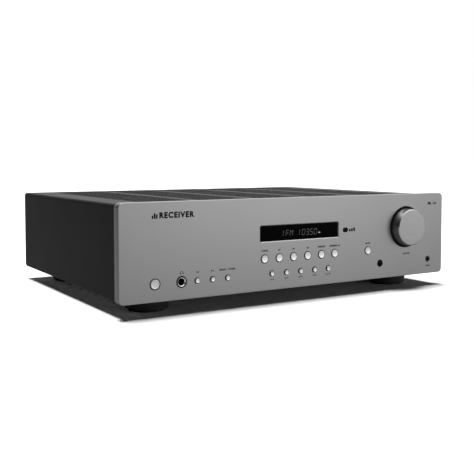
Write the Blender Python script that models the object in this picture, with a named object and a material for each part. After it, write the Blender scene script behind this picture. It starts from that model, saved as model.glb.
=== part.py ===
"""A full-width stereo receiver at its real size, in metres: +X right, +Y back, +Z up.

The front faces -Y. The origin is on the surface that the feet stand on, under the middle
of the whole object.
"""

import math

import bmesh
import bpy

# Driving dimensions
GAP = 0.0003  # clearance between pieces that touch
SHEET = 0.0012  # steel sheet
BOARD = 0.0016  # circuit board
OVERLAP = 0.0002  # how far a joined shape sinks into its neighbour

DEPTH = 0.341  # from the knob's face to the ends of the speaker caps
KNOB_STANDS_OUT = 0.011
CAPS_STAND_OUT = 0.0133

PANEL_WIDTH = 0.430
PANEL_HEIGHT = 0.098
PANEL_DEPTH = 0.0105
PANEL_FACE = 0.003
PANEL_RIM = 0.003
PANEL_CORNER = 0.005
PANEL_BOTTOM = 0.015

COVER_WIDTH = 0.4216
COVER_TOP_BELOW_PANEL = 0.0018
COVER_BOTTOM_ABOVE_PANEL = 0.0015
COVER_BEND = 0.0036

LOWER_ROW = 0.0177  # heights of the control rows above the panel's lower edge
UPPER_ROW = 0.0339
DISPLAY_HEIGHT = 0.0605
KNOB_HEIGHT = 0.0588

SOURCE_BUTTONS = 6
SOURCE_FIRST_X = -0.0489
SOURCE_PITCH = 0.01894
PRESET_BUTTONS = 5
PRESET_FIRST_X = -0.0395
PRESET_PITCH = 0.01898
SMALL_BUTTON_NAMES = ("tuning_down_button", "tuning_up_button", "mode_button")
SMALL_FIRST_X = -0.1302
SMALL_PITCH = 0.01785
POWER_X = -0.1771
MUTE_X = 0.0948
HEADPHONE_X = -0.1479
HEADPHONE_COLLAR = 0.0110
HEADPHONE_BORE = 0.0064
AUX_X = 0.1913
AUX_COLLAR = 0.0066
AUX_BORE = 0.0036
IR_X = 0.1138
IR_DIAMETER = 0.0076

DISPLAY_X = -0.00165
DISPLAY_WIDTH = 0.105
DISPLAY_OPENING_HEIGHT = 0.0168
DISPLAY_CORNER = 0.0012
DISPLAY_FRAME = (0.100, 0.0146)  # the frame's opening behind the window

KNOB_X = 0.1542
RECESS_DIAMETER = 0.0492
KNOB_BASE = 0.0446
KNOB_FACE = 0.0427
SHAFT_DIAMETER = 0.006

# Diameter of the button, diameter of its hole in the panel, and how far it stands out
BUTTON_SIZES = {
    "power": (0.0096, 0.0113, 0.0005),
    "large": (0.0079, 0.0093, 0.0007),
    "small": (0.0047, 0.0062, 0.0013),
}
FLANGE_WIDTH = 0.0013
FRAME_CLEARANCE = 0.0005  # round a button, where the frame guides it
PRESS_TRAVEL = 0.0008
STEM_DIAMETER = 0.0024
SWITCH_HEIGHT = 0.0035  # of the switch behind each button, in front of its board
SWITCH_SIZE = 0.006

FOOT_X = 0.165
FOOT_Y = 0.115
FOOT_DIAMETER = 0.045

VENT_COLUMNS = 5
VENT_ROWS = 9
VENT_PITCH = 0.073
VENT_LENGTH = 0.062
VENT_WIDTH = 0.004

# Planes that several pieces share
FRONT = -DEPTH / 2 + KNOB_STANDS_OUT
BACK = DEPTH / 2 - CAPS_STAND_OUT
PANEL_MIDDLE = PANEL_BOTTOM + PANEL_HEIGHT / 2
FASCIA_FRONT = FRONT + PANEL_FACE + GAP
FASCIA_BACK = FRONT + 0.0075
CONTROL_BOARD_FRONT = FRONT + 0.0155
CONTROL_BOARD_BACK = CONTROL_BOARD_FRONT + BOARD
COVER_FRONT = FRONT + PANEL_DEPTH + GAP
COVER_BACK = BACK + GAP
COVER_TOP = PANEL_BOTTOM + PANEL_HEIGHT - COVER_TOP_BELOW_PANEL
CASE_BOTTOM = PANEL_BOTTOM + COVER_BOTTOM_ABOVE_PANEL
FLOOR = CASE_BOTTOM + SHEET  # upper face of the chassis floor
INNER_X = COVER_WIDTH / 2 - SHEET - GAP  # half the width inside the cover
STANDOFF = 0.0085  # height of the boards above the floor
BOARD_TOP = FLOOR + STANDOFF + BOARD

LOWER_Z = PANEL_BOTTOM + LOWER_ROW
UPPER_Z = PANEL_BOTTOM + UPPER_ROW
DISPLAY_Z = PANEL_BOTTOM + DISPLAY_HEIGHT
KNOB_Z = PANEL_BOTTOM + KNOB_HEIGHT

# Colour, roughness and metallic value of each finish
FINISHES = {
    "panel_aluminium": ((0.27, 0.27, 0.28), 0.42, 0.9),
    "button_aluminium": ((0.72, 0.72, 0.73), 0.3, 0.9),
    "knob_aluminium": ((0.33, 0.33, 0.34), 0.32, 0.95),
    "black_steel": ((0.018, 0.018, 0.019), 0.5, 0.3),
    "zinc_steel": ((0.55, 0.55, 0.53), 0.4, 0.9),
    "black_plastic": ((0.012, 0.012, 0.013), 0.5, 0.0),
    "display_black": ((0.003, 0.003, 0.004), 0.12, 0.0),
    "board_green": ((0.02, 0.11, 0.05), 0.5, 0.0),
    "heat_sink_black": ((0.02, 0.02, 0.02), 0.45, 0.6),
    "transformer_wrap": ((0.62, 0.5, 0.12), 0.35, 0.1),
    "capacitor_sleeve": ((0.02, 0.03, 0.08), 0.35, 0.0),
    "tinned_steel": ((0.6, 0.6, 0.6), 0.3, 1.0),
    "ribbon_grey": ((0.45, 0.45, 0.45), 0.6, 0.0),
    "rubber": ((0.02, 0.02, 0.02), 0.8, 0.0),
    "red_plastic": ((0.45, 0.01, 0.01), 0.4, 0.0),
}


def clear_scene():
    for old in list(bpy.data.objects):
        bpy.data.objects.remove(old)


def finish(name):
    """The Principled material of that name, made once."""
    found = bpy.data.materials.get(name)
    if found:
        return found
    colour, roughness, metallic = FINISHES[name]
    made = bpy.data.materials.new(name)
    made.use_nodes = True
    shader = made.node_tree.nodes["Principled BSDF"]
    shader.inputs["Base Color"].default_value = (*colour, 1.0)
    shader.inputs["Roughness"].default_value = roughness
    shader.inputs["Metallic"].default_value = metallic
    return made


# Shapes -------------------------------------------------------------------------------


def rounded_rectangle(width, height, radius, steps=5):
    """Points of a rectangle round the origin with quarter-circle corners, anticlockwise."""
    points = []
    for corner, (side_x, side_z) in enumerate(((1, 1), (-1, 1), (-1, -1), (1, -1))):
        for step in range(steps + 1):
            angle = math.radians(90 * (corner + step / steps))
            points.append(
                (
                    side_x * (width / 2 - radius) + radius * math.cos(angle),
                    side_z * (height / 2 - radius) + radius * math.sin(angle),
                )
            )
    return points


def circle(diameter, sides):
    turn = 2 * math.pi / sides
    return [
        (diameter / 2 * math.cos(turn * i), diameter / 2 * math.sin(turn * i))
        for i in range(sides)
    ]


def prism(shape, outline, start, end, axis="Y", at=(0, 0)):
    """Adds to the bmesh shape a closed prism along axis. The outline lies across that axis."""

    def place(point, along):
        across, up = point[0] + at[0], point[1] + at[1]
        if axis == "Y":
            return (across, along, up)
        if axis == "Z":
            return (across, up, along)
        return (along, across, up)

    near = [shape.verts.new(place(point, start)) for point in outline]
    far = [shape.verts.new(place(point, end)) for point in outline]
    faces = [shape.faces.new(near), shape.faces.new(far)]
    for i in range(len(outline)):
        j = (i + 1) % len(outline)
        faces.append(shape.faces.new((near[i], near[j], far[j], far[i])))
    bmesh.ops.recalc_face_normals(shape, faces=faces)
    return faces


def box(shape, low, high):
    """Adds a box between two opposite corners."""
    outline = [(low[0], low[2]), (high[0], low[2]), (high[0], high[2]), (low[0], high[2])]
    return prism(shape, outline, low[1], high[1])


def turned(shape, profile, sides=24, axis="Y", ring=False):
    """Adds the solid that the (radius, distance along axis) profile sweeps in one turn.

    An open profile starts and ends on the axis. A ring's profile is a closed loop off it.
    """

    def place(radius, along, angle):
        if axis == "Y":
            return (radius * math.cos(angle), along, radius * math.sin(angle))
        return (radius * math.cos(angle), radius * math.sin(angle), along)

    rows = []
    for radius, along in profile:
        count = sides if radius > 0 else 1
        turn = 2 * math.pi / sides
        rows.append([shape.verts.new(place(radius, along, turn * i)) for i in range(count)])
    pairs = list(zip(rows, rows[1:]))
    if ring:
        pairs.append((rows[-1], rows[0]))
    faces = []
    for row, following in pairs:
        for i in range(sides):
            j = (i + 1) % sides
            corners = [row[i % len(row)], row[j % len(row)]]
            corners += [following[j % len(following)], following[i % len(following)]]
            faces.append(shape.faces.new(list(dict.fromkeys(corners))))
    bmesh.ops.recalc_face_normals(shape, faces=faces)
    return faces


def move(shape, faces, offset):
    """Moves the faces that one of the functions above has just made."""
    verts = list({vert for face in faces for vert in face.verts})
    bmesh.ops.translate(shape, verts=verts, vec=offset)


def bevel_edges(shape, chosen, width, segments=1):
    """Bevels the edges for which chosen(edge's two ends) is true."""
    edges = [edge for edge in shape.edges if chosen(*(vert.co for vert in edge.verts))]
    bmesh.ops.bevel(shape, geom=edges, offset=width, segments=segments, affect="EDGES")


# Objects ------------------------------------------------------------------------------


def add_object(name, shape, finish_name, at=(0, 0, 0), parent=None):
    """Turns the bmesh into a named object with its finish."""
    mesh = bpy.data.meshes.new(name)
    shape.to_mesh(mesh)
    shape.free()
    mesh.shade_smooth()
    mesh.set_sharp_from_angle(angle=math.radians(35))
    mesh.materials.append(finish(finish_name))
    return place_mesh(name, mesh, at, parent)


def place_mesh(name, mesh, at, parent=None):
    made = bpy.data.objects.new(name, mesh)
    bpy.context.scene.collection.objects.link(made)
    made.parent = parent
    made.location = at
    return made


def helper(name, shape):
    """A cutter or a shape to join, which isn't itself part of the object."""
    made = add_object(name, shape, "black_plastic")
    made.hide_render = True
    made.display_type = "WIRE"
    return made


def combine(target, shape, operation):
    """Cuts the shape from the target (DIFFERENCE) or joins it to the target (UNION)."""
    count = len(target.modifiers) + 1
    modifier = target.modifiers.new(f"{operation.lower()}_{count}", "BOOLEAN")
    modifier.operation = operation
    modifier.object = helper(f"{target.name}_helper_{count}", shape)


# Where the round controls are ---------------------------------------------------------


def buttons():
    """(name, kind, x, z) of all 16 push buttons."""
    found = [("power_button", "power", POWER_X, LOWER_Z)]
    for i, name in enumerate(SMALL_BUTTON_NAMES):
        found.append((name, "small", SMALL_FIRST_X + i * SMALL_PITCH, LOWER_Z))
    for i in range(SOURCE_BUTTONS):
        x = SOURCE_FIRST_X + i * SOURCE_PITCH
        found.append((f"source_button_{i + 1}", "large", x, UPPER_Z))
    for i in range(PRESET_BUTTONS):
        x = PRESET_FIRST_X + i * PRESET_PITCH
        found.append((f"preset_button_{i + 1}", "small", x, LOWER_Z))
    found.append(("mute_button", "large", MUTE_X, UPPER_Z))
    return found


# Front --------------------------------------------------------------------------------


def front_panel():
    shape = bmesh.new()
    outline = rounded_rectangle(PANEL_WIDTH, PANEL_HEIGHT, PANEL_CORNER)
    prism(shape, outline, 0, PANEL_DEPTH)
    bevel_edges(shape, lambda a, b: a.y == 0 and b.y == 0, 0.0004)
    panel = add_object("front_panel", shape, "panel_aluminium", (0, FRONT, PANEL_MIDDLE))

    pocket = bmesh.new()
    width, height = PANEL_WIDTH - 2 * PANEL_RIM, PANEL_HEIGHT - 2 * PANEL_RIM
    outline = rounded_rectangle(width, height, PANEL_CORNER - PANEL_RIM, 2)
    start, end = FRONT + PANEL_FACE, FRONT + PANEL_DEPTH + 0.001
    prism(pocket, outline, start, end, at=(0, PANEL_MIDDLE))
    combine(panel, pocket, "DIFFERENCE")

    holes = bmesh.new()
    start, end = FRONT - 0.001, FRONT + PANEL_FACE + 0.001
    for _, kind, x, z in buttons():
        prism(holes, circle(BUTTON_SIZES[kind][1], 16), start, end, at=(x, z))
    for x, diameter in (
        (HEADPHONE_X, HEADPHONE_COLLAR),
        (AUX_X, AUX_COLLAR),
        (IR_X, IR_DIAMETER),
    ):
        prism(holes, circle(diameter + 2 * GAP, 20), start, end, at=(x, LOWER_Z))
    prism(holes, circle(RECESS_DIAMETER, 48), start, end, at=(KNOB_X, KNOB_Z))
    window = rounded_rectangle(DISPLAY_WIDTH, DISPLAY_OPENING_HEIGHT, DISPLAY_CORNER, 3)
    prism(holes, window, start, end, at=(DISPLAY_X, DISPLAY_Z))
    combine(panel, holes, "DIFFERENCE")


def fascia_frame():
    """The plastic frame behind the panel, which guides the buttons and holds the window."""
    shape = bmesh.new()
    width = PANEL_WIDTH - 2 * (PANEL_RIM + GAP)
    height = PANEL_HEIGHT - 2 * (PANEL_RIM + GAP)
    outline = rounded_rectangle(width, height, 0.0018, 2)
    prism(shape, outline, FASCIA_FRONT, FASCIA_BACK, at=(0, PANEL_MIDDLE))
    frame = add_object("fascia_frame", shape, "black_plastic")

    def row_slot(x_first, x_last, z, kind):
        height = BUTTON_SIZES[kind][0] + 2 * FRAME_CLEARANCE
        outline = rounded_rectangle(x_last - x_first + height, height, height / 2.01, 4)
        middle = (x_first + x_last) / 2
        prism(slots, outline, start, end, at=(middle, z))

    slots = bmesh.new()
    start, end = FASCIA_FRONT - 0.001, FASCIA_BACK + 0.001
    last = SMALL_FIRST_X + 2 * SMALL_PITCH
    row_slot(SMALL_FIRST_X, last, LOWER_Z, "small")
    last = SOURCE_FIRST_X + (SOURCE_BUTTONS - 1) * SOURCE_PITCH
    row_slot(SOURCE_FIRST_X, last, UPPER_Z, "large")
    last = PRESET_FIRST_X + (PRESET_BUTTONS - 1) * PRESET_PITCH
    row_slot(PRESET_FIRST_X, last, LOWER_Z, "small")
    for x, z, diameter in (
        (POWER_X, LOWER_Z, BUTTON_SIZES["power"][0] + 2 * FRAME_CLEARANCE),
        (MUTE_X, UPPER_Z, BUTTON_SIZES["large"][0] + 2 * FRAME_CLEARANCE),
        (HEADPHONE_X, LOWER_Z, HEADPHONE_COLLAR + 2 * GAP),
        (AUX_X, LOWER_Z, AUX_COLLAR + 2 * GAP),
        (IR_X, LOWER_Z, IR_DIAMETER + 2 * GAP),
    ):
        prism(slots, circle(diameter, 16), start, end, at=(x, z))
    prism(slots, circle(RECESS_DIAMETER, 48), start, end, at=(KNOB_X, KNOB_Z))
    outline = rounded_rectangle(*DISPLAY_FRAME, 0.0008, 1)
    prism(slots, outline, start, end, at=(DISPLAY_X, DISPLAY_Z))
    combine(frame, slots, "DIFFERENCE")


def display():
    shape = bmesh.new()
    width, height = DISPLAY_WIDTH - 2 * GAP, DISPLAY_OPENING_HEIGHT - 2 * GAP
    outline = rounded_rectangle(width, height, DISPLAY_CORNER - GAP, 3)
    prism(shape, outline, 0.0009, PANEL_FACE)
    place = (DISPLAY_X, FRONT, DISPLAY_Z)
    add_object("display_window", shape, "display_black", place)

    shape = bmesh.new()
    box(shape, (-0.048, 0.0036, -0.0066), (0.048, 0.0090, 0.0066))
    module = add_object("display_module", shape, "display_black", place)
    back = bmesh.new()
    faces = box(back, (-0.055, 0.0080, -0.0120), (0.055, 0.0152, 0.0120))
    move(back, faces, place)
    combine(module, back, "UNION")


def push_buttons():
    """Each button has a flange that the fascia frame holds, and a stem over its switch."""
    meshes = {}
    for name, kind, x, z in buttons():
        if kind in meshes:
            place_mesh(name, meshes[kind], (x, FRONT, z))
            continue
        diameter, _, stands_out = BUTTON_SIZES[kind]
        radius, chamfer = diameter / 2, 0.0003
        flange_front = FASCIA_BACK - FRONT + 0.0005
        flange_back = flange_front + 0.0015
        stem_end = CONTROL_BOARD_FRONT - FRONT - SWITCH_HEIGHT - PRESS_TRAVEL - GAP
        profile = [
            (0, -stands_out),
            (radius - chamfer, -stands_out),
            (radius, -stands_out + chamfer),
            (radius, flange_front),
            (radius + FLANGE_WIDTH, flange_front),
            (radius + FLANGE_WIDTH, flange_back),
            (STEM_DIAMETER / 2, flange_back),
            (STEM_DIAMETER / 2, stem_end),
            (0, stem_end),
        ]
        shape = bmesh.new()
        turned(shape, profile, 16)
        made = add_object(name, shape, "button_aluminium", (x, FRONT, z))
        meshes[kind] = made.data


def front_socket(name, x, collar, bore, bore_depth, body, body_depth):
    """A round jack socket: a collar in the panel, and a square body behind the frame."""
    shape = bmesh.new()
    front, back = -0.0006, FASCIA_BACK - FRONT + 0.0006
    profile = [
        (0, front),
        (collar / 2 - 0.0005, front),
        (collar / 2, front + 0.0005),
        (collar / 2, back),
        (0, back),
    ]
    turned(shape, profile, 20)
    socket = add_object(name, shape, "black_plastic", (x, FRONT, LOWER_Z))
    block = bmesh.new()
    start = FASCIA_BACK - FRONT + GAP
    faces = box(block, (-body / 2, start, -body / 2), (body / 2, body_depth, body / 2))
    move(block, faces, (x, FRONT, LOWER_Z))
    combine(socket, block, "UNION")
    hole = bmesh.new()
    prism(hole, circle(bore, 20), FRONT - 0.002, FRONT + bore_depth, at=(x, LOWER_Z))
    combine(socket, hole, "DIFFERENCE")


def ir_window():
    shape = bmesh.new()
    radius = IR_DIAMETER / 2
    back = FASCIA_BACK - FRONT + 0.0005
    profile = [
        (0, -0.0006),
        (radius * 0.7, -0.0004),
        (radius, 0.0002),
        (radius, back),
        (radius + 0.001, back),
        (radius + 0.001, back + 0.0015),
        (0, back + 0.0015),
    ]
    turned(shape, profile, 20)
    add_object("ir_window", shape, "display_black", (IR_X, FRONT, LOWER_Z))


def volume_control():
    place = (KNOB_X, FRONT, KNOB_Z)
    floor = 0.005
    shape = bmesh.new()
    outer = RECESS_DIAMETER / 2 - GAP
    profile = [
        (outer - 0.0012, 0),
        (outer, 0),
        (outer, FASCIA_BACK - FRONT),
        (0.0045, FASCIA_BACK - FRONT),
        (0.0045, floor),
        (outer - 0.0012, floor),
    ]
    turned(shape, profile, 48, ring=True)
    add_object("knob_surround", shape, "black_plastic", place)

    shape = bmesh.new()
    bore = SHAFT_DIAMETER / 2 + GAP
    profile = [
        (0, -KNOB_STANDS_OUT),
        (KNOB_FACE / 2 - 0.0006, -KNOB_STANDS_OUT),
        (KNOB_FACE / 2, -KNOB_STANDS_OUT + 0.0006),
        (KNOB_BASE / 2, floor - 0.0015),
        (bore, floor - 0.0015),
        (bore, -0.006),
        (0, -0.006),
    ]
    turned(shape, profile, 48)
    knob = add_object("volume_knob", shape, "knob_aluminium", place)

    encoder_front, encoder_back = 0.0095, CONTROL_BOARD_FRONT - FRONT - GAP
    encoder_bottom = encoder_back - 0.0012
    shape = bmesh.new()
    radius = SHAFT_DIAMETER / 2
    profile = [(0, -0.006 + GAP), (radius, -0.006 + GAP)]
    profile += [(radius, encoder_bottom - GAP), (0, encoder_bottom - GAP)]
    turned(shape, profile, 20)
    add_object("volume_shaft", shape, "zinc_steel", parent=knob)

    shape = bmesh.new()
    box(shape, (-0.007, encoder_front, -0.007), (0.007, encoder_back, 0.007))
    encoder = add_object("volume_encoder", shape, "zinc_steel", place)
    hole = bmesh.new()
    start, end = FRONT + encoder_front - 0.001, FRONT + encoder_bottom
    prism(hole, circle(SHAFT_DIAMETER + 2 * GAP, 20), start, end, at=(KNOB_X, KNOB_Z))
    combine(encoder, hole, "DIFFERENCE")


def control_board():
    """The board behind the controls, with one switch behind each button."""
    shape = bmesh.new()
    half = INNER_X - 0.004
    low = (-half, CONTROL_BOARD_FRONT, FLOOR + 0.008)
    high = (half, CONTROL_BOARD_BACK, COVER_TOP - 0.006)
    box(shape, low, high)
    board = add_object("control_board", shape, "board_green")
    switches = bmesh.new()
    for _, _, x, z in buttons():
        half = SWITCH_SIZE / 2
        low = (x - half, CONTROL_BOARD_FRONT - SWITCH_HEIGHT, z - half)
        high = (x + half, CONTROL_BOARD_FRONT + OVERLAP, z + half)
        box(switches, low, high)
    combine(board, switches, "UNION")
    openings = bmesh.new()
    for x, half in ((HEADPHONE_X, 0.0078), (AUX_X, 0.0055)):
        low = (x - half, CONTROL_BOARD_FRONT - 0.001, LOWER_Z - half)
        high = (x + half, CONTROL_BOARD_BACK + 0.001, LOWER_Z + half)
        box(openings, low, high)
    combine(board, openings, "DIFFERENCE")


# Case ---------------------------------------------------------------------------------


def cover_profile():
    """The bent sheet's outline across the case, up one side and down the other."""
    half = COVER_WIDTH / 2
    outer, inner = [], []
    for side in (1, -1):
        for step in range(5):
            turn = math.radians(90 * step / 4)
            angle = turn if side > 0 else math.pi / 2 + turn
            centre = (side * (half - COVER_BEND), COVER_TOP - COVER_BEND)
            for points, radius in ((outer, COVER_BEND), (inner, COVER_BEND - SHEET)):
                across = centre[0] + radius * math.cos(angle)
                points.append((across, centre[1] + radius * math.sin(angle)))
    outer = [(half, CASE_BOTTOM)] + outer + [(-half, CASE_BOTTOM)]
    inner = [(half - SHEET, CASE_BOTTOM)] + inner + [(-half + SHEET, CASE_BOTTOM)]
    return outer + inner[::-1]


def cover_screw_places():
    return [(side * 0.196, COVER_TOP - SHEET - 0.0062) for side in (-1, 1)]


def top_cover():
    shape = bmesh.new()
    prism(shape, cover_profile(), COVER_FRONT, COVER_BACK)

    def lower_back_corner(a, b):
        return min(a.y, b.y) > COVER_BACK - 1e-5 and max(a.z, b.z) < CASE_BOTTOM + 1e-5

    bevel_edges(shape, lower_back_corner, 0.005, 4)
    cover = add_object("top_cover", shape, "black_steel")

    lip = bmesh.new()
    top = COVER_TOP - SHEET
    back = BACK - SHEET - GAP
    box(lip, (-0.2, back - SHEET, top - 0.012), (0.2, back, top + OVERLAP))
    combine(cover, lip, "UNION")

    openings = bmesh.new()
    first = COVER_FRONT + 0.040
    pitch = (COVER_BACK - 0.030 - first) / (VENT_ROWS - 1)
    for column in range(VENT_COLUMNS):
        x = (column - (VENT_COLUMNS - 1) / 2) * VENT_PITCH
        for row in range(VENT_ROWS):
            y = first + row * pitch
            low = (x - VENT_LENGTH / 2, y - VENT_WIDTH / 2, top - 0.001)
            high = (x + VENT_LENGTH / 2, y + VENT_WIDTH / 2, COVER_TOP + 0.001)
            box(openings, low, high)
    for x, z in cover_screw_places():
        prism(openings, circle(0.0036, 12), back - 0.005, back + 0.001, at=(x, z))
    combine(cover, openings, "DIFFERENCE")


def chassis_tray():
    shape = bmesh.new()
    half, front, back = INNER_X, COVER_FRONT + 0.0005, BACK
    box(shape, (-half, front, CASE_BOTTOM), (half, back, FLOOR))
    tray = add_object("chassis_tray", shape, "zinc_steel")
    flanges = bmesh.new()
    top = FLOOR + 0.014
    for side in (-1, 1):
        x_low, x_high = sorted((side * half, side * (half - SHEET)))
        end = back - SHEET - 2 * GAP
        box(flanges, (x_low, front + 0.002, FLOOR - SHEET / 2), (x_high, end, top))
    combine(tray, flanges, "UNION")
    lip = bmesh.new()
    start = CONTROL_BOARD_BACK + 0.0025
    low = (-half + 0.02, start, FLOOR - SHEET / 2)
    box(lip, low, (half - 0.02, start + SHEET, FLOOR + 0.0055))
    combine(tray, lip, "UNION")


def feet():
    shape = bmesh.new()
    radius, top = FOOT_DIAMETER / 2, CASE_BOTTOM - GAP
    profile = [
        (0, 0),
        (radius - 0.004, 0),
        (radius - 0.003, 0.0012),
        (radius - 0.0005, 0.003),
        (radius, top),
        (0, top),
    ]
    turned(shape, profile, 24, axis="Z")
    mesh = None
    for row, y in (("front", -FOOT_Y), ("rear", FOOT_Y)):
        for side, x in (("left", -FOOT_X), ("right", FOOT_X)):
            name = f"foot_{row}_{side}"
            if mesh is None:
                mesh = add_object(name, shape, "rubber", (x, y, 0)).data
            else:
                place_mesh(name, mesh, (x, y, 0))


# Rear connectors ----------------------------------------------------------------------

PHONO_X, PHONO_Z = 0.095, 0.048
PHONO_SIZE = (0.118, 0.036)
PHONO_COLUMNS, PHONO_PITCH, PHONO_ROW_PITCH = 6, 0.0185, 0.017
SPEAKER_X, SPEAKER_Z = -0.062, 0.056
SPEAKER_SIZE = (0.104, 0.050)
SPEAKER_COLUMNS, SPEAKER_PITCH, SPEAKER_ROW_PITCH = 4, 0.0245, 0.024
STUD_DIAMETER = 0.004
CAP_DIAMETER = 0.0118
ANTENNA_X, ANTENNA_Z = 0.176, 0.082
ANTENNA_SIZE = (0.042, 0.024)
GROUND_X, GROUND_Z = 0.176, 0.048
MAINS_X, MAINS_Z = -0.166, 0.044
MAINS_SIZE = (0.060, 0.026)
MAINS_FLANGE = 0.002
PLUG_X = MAINS_X - 0.0125
PLUG_CAVITY = (0.0246, 0.0168)
ROCKER_X = MAINS_X + 0.0168
ROCKER_WELL = (0.0222, 0.0140)
ROCKER_TILT = math.radians(12)


def grid(centre_x, centre_z, columns, pitch, row_pitch):
    """Column, row and place of each connector in two rows."""
    for row in range(2):
        for column in range(columns):
            x = centre_x + (column - (columns - 1) / 2) * pitch
            yield column, row, (x, centre_z + (row - 0.5) * row_pitch)


def rear_panel():
    shape = bmesh.new()
    half = INNER_X
    low = (-half, BACK - SHEET, FLOOR + GAP)
    box(shape, low, (half, BACK, COVER_TOP - SHEET - GAP))
    bevel_edges(shape, lambda a, b: a.x == b.x and a.z == b.z and a.z > 0.1, 0.0022)
    panel = add_object("rear_panel", shape, "black_steel")
    holes = bmesh.new()
    start, end = BACK - SHEET - 0.001, BACK + 0.001
    for x, z, (width, height) in (
        (PHONO_X, PHONO_Z, PHONO_SIZE),
        (SPEAKER_X, SPEAKER_Z, SPEAKER_SIZE),
        (ANTENNA_X, ANTENNA_Z, ANTENNA_SIZE),
        (MAINS_X, MAINS_Z, MAINS_SIZE),
    ):
        outline = rounded_rectangle(width + 2 * GAP, height + 2 * GAP, 0.001, 1)
        prism(holes, outline, start, end, at=(x, z))
    prism(holes, circle(0.0046, 12), start, end, at=(GROUND_X, GROUND_Z))
    for place in cover_screw_places():
        prism(holes, circle(0.0036, 12), start, end, at=place)
    combine(panel, holes, "DIFFERENCE")


def phono_socket_block():
    """Two rows of phono sockets in one moulding."""
    shape = bmesh.new()
    outline = rounded_rectangle(*PHONO_SIZE, 0.001, 1)
    prism(shape, outline, BACK - 0.018, BACK + 0.001, at=(PHONO_X, PHONO_Z))
    block = add_object("phono_socket_block", shape, "black_plastic")
    posts, bores = bmesh.new(), bmesh.new()
    sockets = grid(PHONO_X, PHONO_Z, PHONO_COLUMNS, PHONO_PITCH, PHONO_ROW_PITCH)
    for _, _, place in sockets:
        prism(posts, circle(0.0083, 12), BACK, BACK + 0.0092, at=place)
        prism(bores, circle(0.0034, 6), BACK + 0.001, BACK + 0.011, at=place)
    combine(block, posts, "UNION")
    combine(block, bores, "DIFFERENCE")


def speaker_terminals():
    """Eight threaded posts in one moulding, each with a cap that screws down on the wire."""
    shape = bmesh.new()
    outline = rounded_rectangle(*SPEAKER_SIZE, 0.001, 1)
    prism(shape, outline, BACK - 0.012, BACK + 0.001, at=(SPEAKER_X, SPEAKER_Z))
    block = add_object("speaker_terminal_block", shape, "black_plastic")
    collars, studs = bmesh.new(), bmesh.new()
    collar_end = BACK + 0.0024
    for column, row, (x, z) in grid(
        SPEAKER_X, SPEAKER_Z, SPEAKER_COLUMNS, SPEAKER_PITCH, SPEAKER_ROW_PITCH
    ):
        prism(collars, circle(0.0108, 16), BACK, collar_end, at=(x, z))
        prism(studs, circle(STUD_DIAMETER, 10), BACK + 0.001, DEPTH / 2 - 0.0015, at=(x, z))
        number = 1 + column + row * SPEAKER_COLUMNS
        colour = "red_plastic" if column % 2 else "black_plastic"
        speaker_cap(f"speaker_cap_{number}", (x, collar_end + GAP, z), colour)
    combine(block, collars, "UNION")
    combine(block, studs, "UNION")


def speaker_cap(name, place, colour):
    """A twelve-sided cap, hollow for the post. Its origin is on the post's axis."""
    shape = bmesh.new()
    length = DEPTH / 2 - place[1]
    radius, bore = CAP_DIAMETER / 2, STUD_DIAMETER / 2 + GAP
    profile = [
        (0, length - 0.0012),
        (bore, length - 0.0012),
        (bore, 0),
        (radius, 0),
        (radius, length - 0.001),
        (radius - 0.001, length),
        (0, length),
    ]
    turned(shape, profile, 12)
    add_object(name, shape, colour, place)


def antenna_block():
    """A coaxial aerial socket and a two-pin socket for the loop aerial."""
    shape = bmesh.new()
    outline = rounded_rectangle(*ANTENNA_SIZE, 0.001, 1)
    prism(shape, outline, BACK - 0.014, BACK + 0.001, at=(ANTENNA_X, ANTENNA_Z))
    block = add_object("antenna_block", shape, "black_plastic")
    coax_at, loop_at = (ANTENNA_X + 0.0105, ANTENNA_Z), (ANTENNA_X - 0.0095, ANTENNA_Z)
    post, bore = bmesh.new(), bmesh.new()
    prism(post, circle(0.0095, 16), BACK, BACK + 0.009, at=coax_at)
    prism(bore, circle(0.0030, 8), BACK + 0.001, BACK + 0.011, at=coax_at)
    recess = rounded_rectangle(0.013, 0.0038, 0.0005, 1)
    prism(bore, recess, BACK - 0.007, BACK + 0.003, at=loop_at)
    combine(block, post, "UNION")
    combine(block, bore, "DIFFERENCE")


def ground_terminal():
    """The thumbscrew for a turntable's earth wire. Its origin is on its own axis."""
    shape = bmesh.new()
    profile = [
        (0, -0.010),
        (0.002, -0.010),
        (0.002, GAP),
        (0.0045, GAP),
        (0.0045, 0.0075),
        (0.0038, 0.0083),
        (0, 0.0083),
    ]
    turned(shape, profile, 12)
    add_object("ground_terminal", shape, "tinned_steel", (GROUND_X, BACK, GROUND_Z))


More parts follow.
